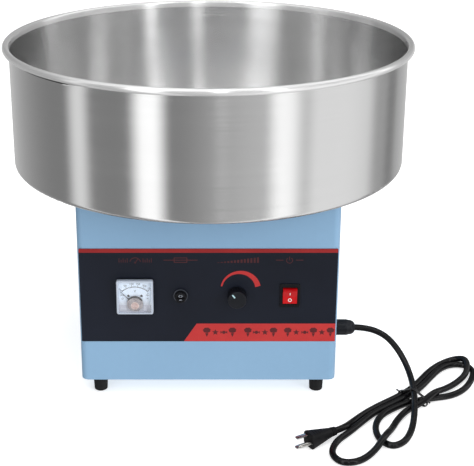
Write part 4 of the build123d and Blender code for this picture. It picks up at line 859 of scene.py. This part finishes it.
stroke = rounded(-0.5, 2.6, 0.5, 6.6, 0.2, 3)
ring_v, ring_f = ring_prism(circle(0, -4.6, 2.35, 40), circle(0, -4.6, 1.45, 40), rocker_face, -0.02, 0.05)
make("rocker_marks", *join_parts([prism(stroke, rocker_face, -0.02, 0.05), (ring_v, ring_f)]), WHITE_INK, "rocker", "rocker_red", smooth=False)

# ---------------------------------------------------------------------------
# Twist tie round the hank
# ---------------------------------------------------------------------------
TIE = Vector((257.0, -168.0, 0.0))
TD = Vector((0.667, 0.745, 0.0)).normalized()
TP = Vector((-TD.y, TD.x, 0.0))


def tie_point(u, w, s):
    """u across the bundle, w up, s along it."""
    return tuple(TIE + TP * u + Vector((0, 0, w)) + TD * s)


path = [(-20.6, 4.5), (-19.4, 1.6), (-15.0, 0.55), (-5.0, 0.5), (6.0, 0.5), (14.5, 0.55), (18.6, 1.5), (20.4, 4.4), (19.9, 8.2), (15.0, 10.6), (8.0, 14.6), (3.2, 17.6), (-1.0, 18.1), (-5.2, 17.4), (-10.0, 14.6), (-15.6, 12.6), (-19.6, 9.4)]
loop = []
for i in range(len(path)):
    p0, p1, p2, p3 = (Vector(path[(i + k) % len(path)]) for k in (-1, 0, 1, 2))
    for q in range(6):
        t = q / 6
        loop.append(0.5 * ((2 * p1) + (-p0 + p2) * t + (2 * p0 - 5 * p1 + 4 * p2 - p3) * t * t + (-p0 + 3 * p1 - 3 * p2 + p3) * t ** 3))
section = [(-2.2, -0.16), (-0.55, -0.2), (-0.3, -0.42), (0.3, -0.42), (0.55, -0.2), (2.2, -0.16), (2.2, 0.16), (0.55, 0.2), (0.3, 0.42), (-0.3, 0.42), (-0.55, 0.2), (-2.2, 0.16)]
verts, n = [], len(loop)
for i, p in enumerate(loop):
    d = (loop[(i + 1) % n] - loop[i - 1]).normalized()
    nor = Vector((-d.y, d.x))
    verts += [tie_point(p.x + nor.x * h, max(0.12, p.y + nor.y * h), s) for s, h in section]
m = len(section)
faces = [(i * m + j, i * m + (j + 1) % m, ((i + 1) % n) * m + (j + 1) % m, ((i + 1) % n) * m + j) for i in range(n) for j in range(m)]
tie_parts = [(verts, faces)]


def twisted(points, turns):
    """Tail of the tie: the same strip, twisted as it goes."""
    v = []
    pts = [Vector(p) for p in points]
    for i, p in enumerate(pts):
        d = (pts[min(i + 1, len(pts) - 1)] - pts[max(i - 1, 0)]).normalized()
        side = d.cross(Vector((0, 0, 1))).normalized()
        up = side.cross(d)
        a = 2 * math.pi * turns * i / (len(pts) - 1)
        e1, e2 = side * math.cos(a) + up * math.sin(a), up * math.cos(a) - side * math.sin(a)
        k = 0.72 if 0 < i < len(pts) - 1 else 0.66
        v += [tuple(p + e1 * s * k + e2 * h * k) for s, h in section]
    f = [(i * m + j, i * m + (j + 1) % m, (i + 1) * m + (j + 1) % m, (i + 1) * m + j) for i in range(len(pts) - 1) for j in range(m)]
    f += [tuple(range(m))[::-1], tuple((len(pts) - 1) * m + j for j in range(m))]
    return v, f


tails = []
for sgn in (-1, 1):
    pts = [tie_point(sgn * (19.8 + 5.0 * t), 6.4 + 1.8 * math.sin(t * 2.2) * (1 if sgn < 0 else 0.4), 0.6 * sgn * t) for t in [k / 18 for k in range(19)]]
    tails.append(twisted(pts, 0.85))
tie_mat = plastic("tie_strip", srgb(22, 22, 24), srgb(32, 32, 34), (0.30, 0.42), 1100.0, 0.01)
tie = make("cord_twist_tie", *join_parts(tie_parts + tails), tie_mat, "root", "black_plastic", angle=38)
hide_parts("cord_tie")

# ---------------------------------------------------------------------------
# Moulded plug
# ---------------------------------------------------------------------------
PO = Vector((150.0, -252.0, 10.5))
PD = Vector((-0.867, -0.498, 0.0)).normalized()
PX = Vector((0.498, -0.867, 0.0)).normalized()
PY = PD.cross(PX)


def plug_at(u, v, s):
    return tuple(PO + PX * u + PY * v + PD * s)


def squircle(w, h, power, n=40):
    pts = []
    for i in range(n):
        t = 2 * math.pi * i / n
        c, s = math.cos(t), math.sin(t)
        pts.append((w / 2 * math.copysign(abs(c) ** (2 / power), c), h / 2 * math.copysign(abs(s) ** (2 / power), s)))
    return pts


stations = []
# short ribbed sleeve over the cord, then the long flared grip
for k in range(3):
    s0 = 2.3 * k
    big, small = 10.4 + 0.4 * k, 9.4 + 0.4 * k
    stations += [(s0, big, big, 2.0), (s0 + 1.1, big + 0.1, big + 0.1, 2.0), (s0 + 1.4, small, small, 2.0), (s0 + 2.0, small + 0.1, small + 0.1, 2.0)]
for k in range(11):
    t = k / 10
    stations.append((7.2 + 28.6 * t, 11.4 + 9.2 * t, 11.0 + 7.4 * t, 2.2 + 2.2 * t))
stations += [(36.8, 20.9, 18.6, 4.4), (37.5, 20.7, 18.5, 4.4), (37.88, 20.1, 17.9, 4.4), (38.0, 19.1, 16.9, 4.4)]
n = 40
verts = []
for s, w, h, p in stations:
    verts += [plug_at(u, v - 0.8 * max(0.0, s - 7.2) / 30.8, s) for u, v in squircle(w, h, p, n)]
faces = [(k * n + j, k * n + (j + 1) % n, (k + 1) * n + (j + 1) % n, (k + 1) * n + j) for k in range(len(stations) - 1) for j in range(n)]
faces += [tuple(range(n))[::-1], tuple((len(stations) - 1) * n + j for j in range(n))]
parts = [(verts, faces)]
# finger grips on both broad sides
for side in (1, -1):
    for k in range(4):
        s = 20.5 + 3.6 * k
        t = (s - 7.2) / 28.6
        half_h, half_w = (11.0 + 7.6 * t) / 2, (11.4 + 9.2 * t) / 2 * 0.52
        ridge = []
        for q in range(13):
            u = -half_w + 2 * half_w * q / 12
            lift = 0.55 * math.sin(math.pi * q / 12) ** 0.5
            ridge.append([plug_at(u, -0.8 * (s - 7.2) / 30.8 + side * (half_h - 0.55 + (0.55 + lift * 0.6) * math.sin(math.pi * j / 6)), s - 0.75 + 1.5 * j / 6) for j in range(7)])
        v = [p for row in ridge for p in row]
        f = [(q * 7 + j, q * 7 + j + 1, (q + 1) * 7 + j + 1, (q + 1) * 7 + j) for q in range(12) for j in range(6)]
        f += [tuple(q * 7 for q in range(13)), tuple(q * 7 + 6 for q in range(13))[::-1]]
        f = [x for x in f]
        f += [tuple(range(7))[::-1], tuple(12 * 7 + j for j in range(7))]
        f += []
        parts.append((v, f))
plug = make("moulded_plug", *join_parts(parts), M["plug_black"], "root", "plug_black", angle=55)
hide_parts("plug_body")

# flat blades one above the other, round earth pin beside them
pins = []
for v0 in (6.35, -6.35):
    outline = [(-3.15, 38.2), (3.15, 38.2), (3.15, 52.0), (2.3, 53.9), (-2.3, 53.9), (-3.15, 52.0)]
    pins.append(prism(outline, lambda p, q, h, v0=v0: plug_at(p - 2.5, v0 + h - 0.8, q), -0.75, 0.75))
rings = [(38.2, 2.38), (52.6, 2.38), (54.4, 2.1), (55.6, 1.4), (56.0, 0.5)]
v = [plug_at(6.0 + r * math.cos(2 * math.pi * j / 24), r * math.sin(2 * math.pi * j / 24) - 0.8, q) for q, r in rings for j in range(24)]
f = [(k * 24 + j, k * 24 + (j + 1) % 24, (k + 1) * 24 + (j + 1) % 24, (k + 1) * 24 + j) for k in range(4) for j in range(24)]
f += [tuple(range(24))[::-1], tuple(4 * 24 + j for j in range(24))]
pins.append((v, f))
blades = make("plug_blades", *join_parts(pins), M["nickel"], "root", "nickel", angle=40, bevel=0.22)
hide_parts("plug_pins")

# ---------------------------------------------------------------------------
# Floor, studio and lamps
# ---------------------------------------------------------------------------
mesh = bpy.data.meshes.new("floor")
size = 14.0
mesh.from_pydata([(-size, -size, 0), (size, -size, 0), (size, size, 0), (-size, size, 0)], [], [(0, 1, 2, 3)])
floor = link(bpy.data.objects.new("floor", mesh))
a = Mat("pale_floor", Specular_IOR_Level=0.0)
g = a.noise(3.0, 2.0, 0.5)
a.colour(a.mix(g, (0.88, 0.88, 0.88), (0.90, 0.90, 0.90)))
a.rough(0.9)
a.b.inputs["Emission Color"].default_value = (1, 1, 1, 1)
a.b.inputs["Emission Strength"].default_value = 0.55
mesh.materials.append(a.m)
floor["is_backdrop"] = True
# the studio's lower half stands in for the floor's own bounce
floor.visible_glossy = False
floor.visible_diffuse = False
floor.visible_shadow = False

world = bpy.data.worlds.new("studio")
scene.world = world
world.use_nodes = True
world.cycles.sampling_method = "NONE"
wt = world.node_tree
wt.nodes.clear()


def wn(kind, **props):
    nd = wt.nodes.new(kind)
    for k, v in props.items():
        setattr(nd, k, v)
    return nd


def wput(s, v):
    if hasattr(v, "is_linked"):
        wt.links.new(v, s)
    else:
        s.default_value = v


def wmath(op, p, q=None, r=None):
    nd = wn("ShaderNodeMath", operation=op)
    for s, v in zip(nd.inputs, (p, q, r)):
        if v is not None:
            wput(s, v)
    return nd.outputs[0]


def wspan(v, lo, hi, a0, a1, kind="SMOOTHSTEP"):
    nd = wn("ShaderNodeMapRange", interpolation_type=kind)
    wput(nd.inputs[0], v)
    for i, t in enumerate((lo, hi, a0, a1)):
        nd.inputs[i + 1].default_value = t
    return nd.outputs[0]


sep = wn("ShaderNodeSeparateXYZ")
wt.links.new(wn("ShaderNodeTexCoord").outputs["Generated"], sep.inputs[0])
azimuth = wmath("MULTIPLY", wmath("ARCTAN2", sep.outputs[0], wmath("MULTIPLY", sep.outputs[1], -1.0)), 180 / math.pi)


def softboxes(base, boxes):
    """Upright softboxes round the object: (azimuth from the front, half width, soft edge, level)."""
    total = base
    for c, half, soft, level in boxes:
        off = wmath("ABSOLUTE", wmath("WRAP", wmath("SUBTRACT", azimuth, c), 180.0, -180.0))
        total = wmath("ADD", total, wspan(off, half, half + soft, level, 0.0))
    return total


low = softboxes(0.27, [(180, 10, 75, 0.35), (128, 2, 8, -0.15), (-78, 1, 10, 0.70), (-33.5, 2.5, 11, 1.15), (55, 25, 55, 0.36), (44, 1, 13, 0.75), (82, 18, 12, 0.38)])
high = softboxes(0.26, [(-75, 1, 7, 0.75), (-36, 5.5, 8, 2.5), (37, 0.8, 5, 4.4), (7, 0.8, 4.5, 2.7), (112, 2, 9, 1.3), (-130, 30, 14, -0.11), (155, 20, 16, -0.12), (70.5, 1, 8, -0.17)])
level = wspan(sep.outputs[2], 0.0, 0.12, 0.0, 1.0)
mixed = wmath("ADD", wmath("MULTIPLY", low, wmath("SUBTRACT", 1.0, level)), wmath("MULTIPLY", high, level))
mixed = wmath("ADD", mixed, wspan(sep.outputs[2], 0.45, 0.80, 0.0, 0.60))
glossy = wn("ShaderNodeBackground")
rgb = wn("ShaderNodeCombineColor")
for s in rgb.inputs:
    wt.links.new(mixed, s)
wt.links.new(rgb.outputs[0], glossy.inputs["Color"])
ambient = wn("ShaderNodeBackground")
amb = wspan(sep.outputs[2], -1.0, 1.0, 0.80, 1.0, "LINEAR")
shade = wspan(wmath("ABSOLUTE", wmath("WRAP", wmath("SUBTRACT", azimuth, -115.0), 180.0, -180.0)), 10, 82, 0.15, 1.0)
amb = wmath("MULTIPLY", amb, shade)
rgb2 = wn("ShaderNodeCombineColor")
for s in rgb2.inputs:
    wt.links.new(amb, s)
wt.links.new(rgb2.outputs[0], ambient.inputs["Color"])
white = wn("ShaderNodeBackground")
white.inputs["Color"].default_value = (1, 1, 1, 1)
white.inputs["Strength"].default_value = 1.05
path = wn("ShaderNodeLightPath")
m1 = wn("ShaderNodeMixShader")
wt.links.new(path.outputs["Is Glossy Ray"], m1.inputs[0])
wt.links.new(ambient.outputs[0], m1.inputs[1])
wt.links.new(glossy.outputs[0], m1.inputs[2])
m2 = wn("ShaderNodeMixShader")
wt.links.new(path.outputs["Is Camera Ray"], m2.inputs[0])
wt.links.new(m1.outputs[0], m2.inputs[1])
wt.links.new(white.outputs[0], m2.inputs[2])
out = wn("ShaderNodeOutputWorld")
wt.links.new(m2.outputs[0], out.inputs[0])


def lamp(name, where, at, size, power, glossy=False):
    light = bpy.data.lights.new(name, "AREA")
    light.shape = "RECTANGLE"
    light.size, light.size_y = size
    light.energy = power
    ob = link(bpy.data.objects.new(name, light))
    ob.location = where
    ob.rotation_euler = (Vector(at) - Vector(where)).to_track_quat("-Z", "Y").to_euler()
    ob.visible_glossy = glossy
    ob.visible_camera = False
    return ob


lamp("overhead_softbox", (-0.2, -0.5, 2.3), (0, 0, 0.1), (2.0, 1.6), 14.0)
lamp("front_left_softbox", (-1.4, -1.9, 1.2), (0, 0, 0.2), (0.9, 1.2), 3.4)
lamp("front_right_softbox", (1.7, -1.5, 0.9), (0, 0, 0.2), (0.9, 1.2), 14.5)

lamp("strip_light", (-0.35, -0.9, 1.9), (0.2, -0.15, 0), (1.3, 0.10), 1.6, glossy=True)

scene.view_settings.view_transform = "Standard"
scene.view_settings.look = "None"
scene.view_settings.exposure = 0.0

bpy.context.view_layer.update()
# a curve's bound_box is padded by its 1 m point radius, so the built meshes are measured too
dg = bpy.context.evaluated_depsgraph_get()
lo, hi = Vector((1e9,) * 3), Vector((-1e9,) * 3)
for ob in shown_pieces():
    e = ob.evaluated_get(dg)
    me = e.to_mesh()
    for v in me.vertices:
        w = e.matrix_world @ v.co
        lo, hi = Vector(map(min, lo, w)), Vector(map(max, hi, w))
    e.to_mesh_clear()
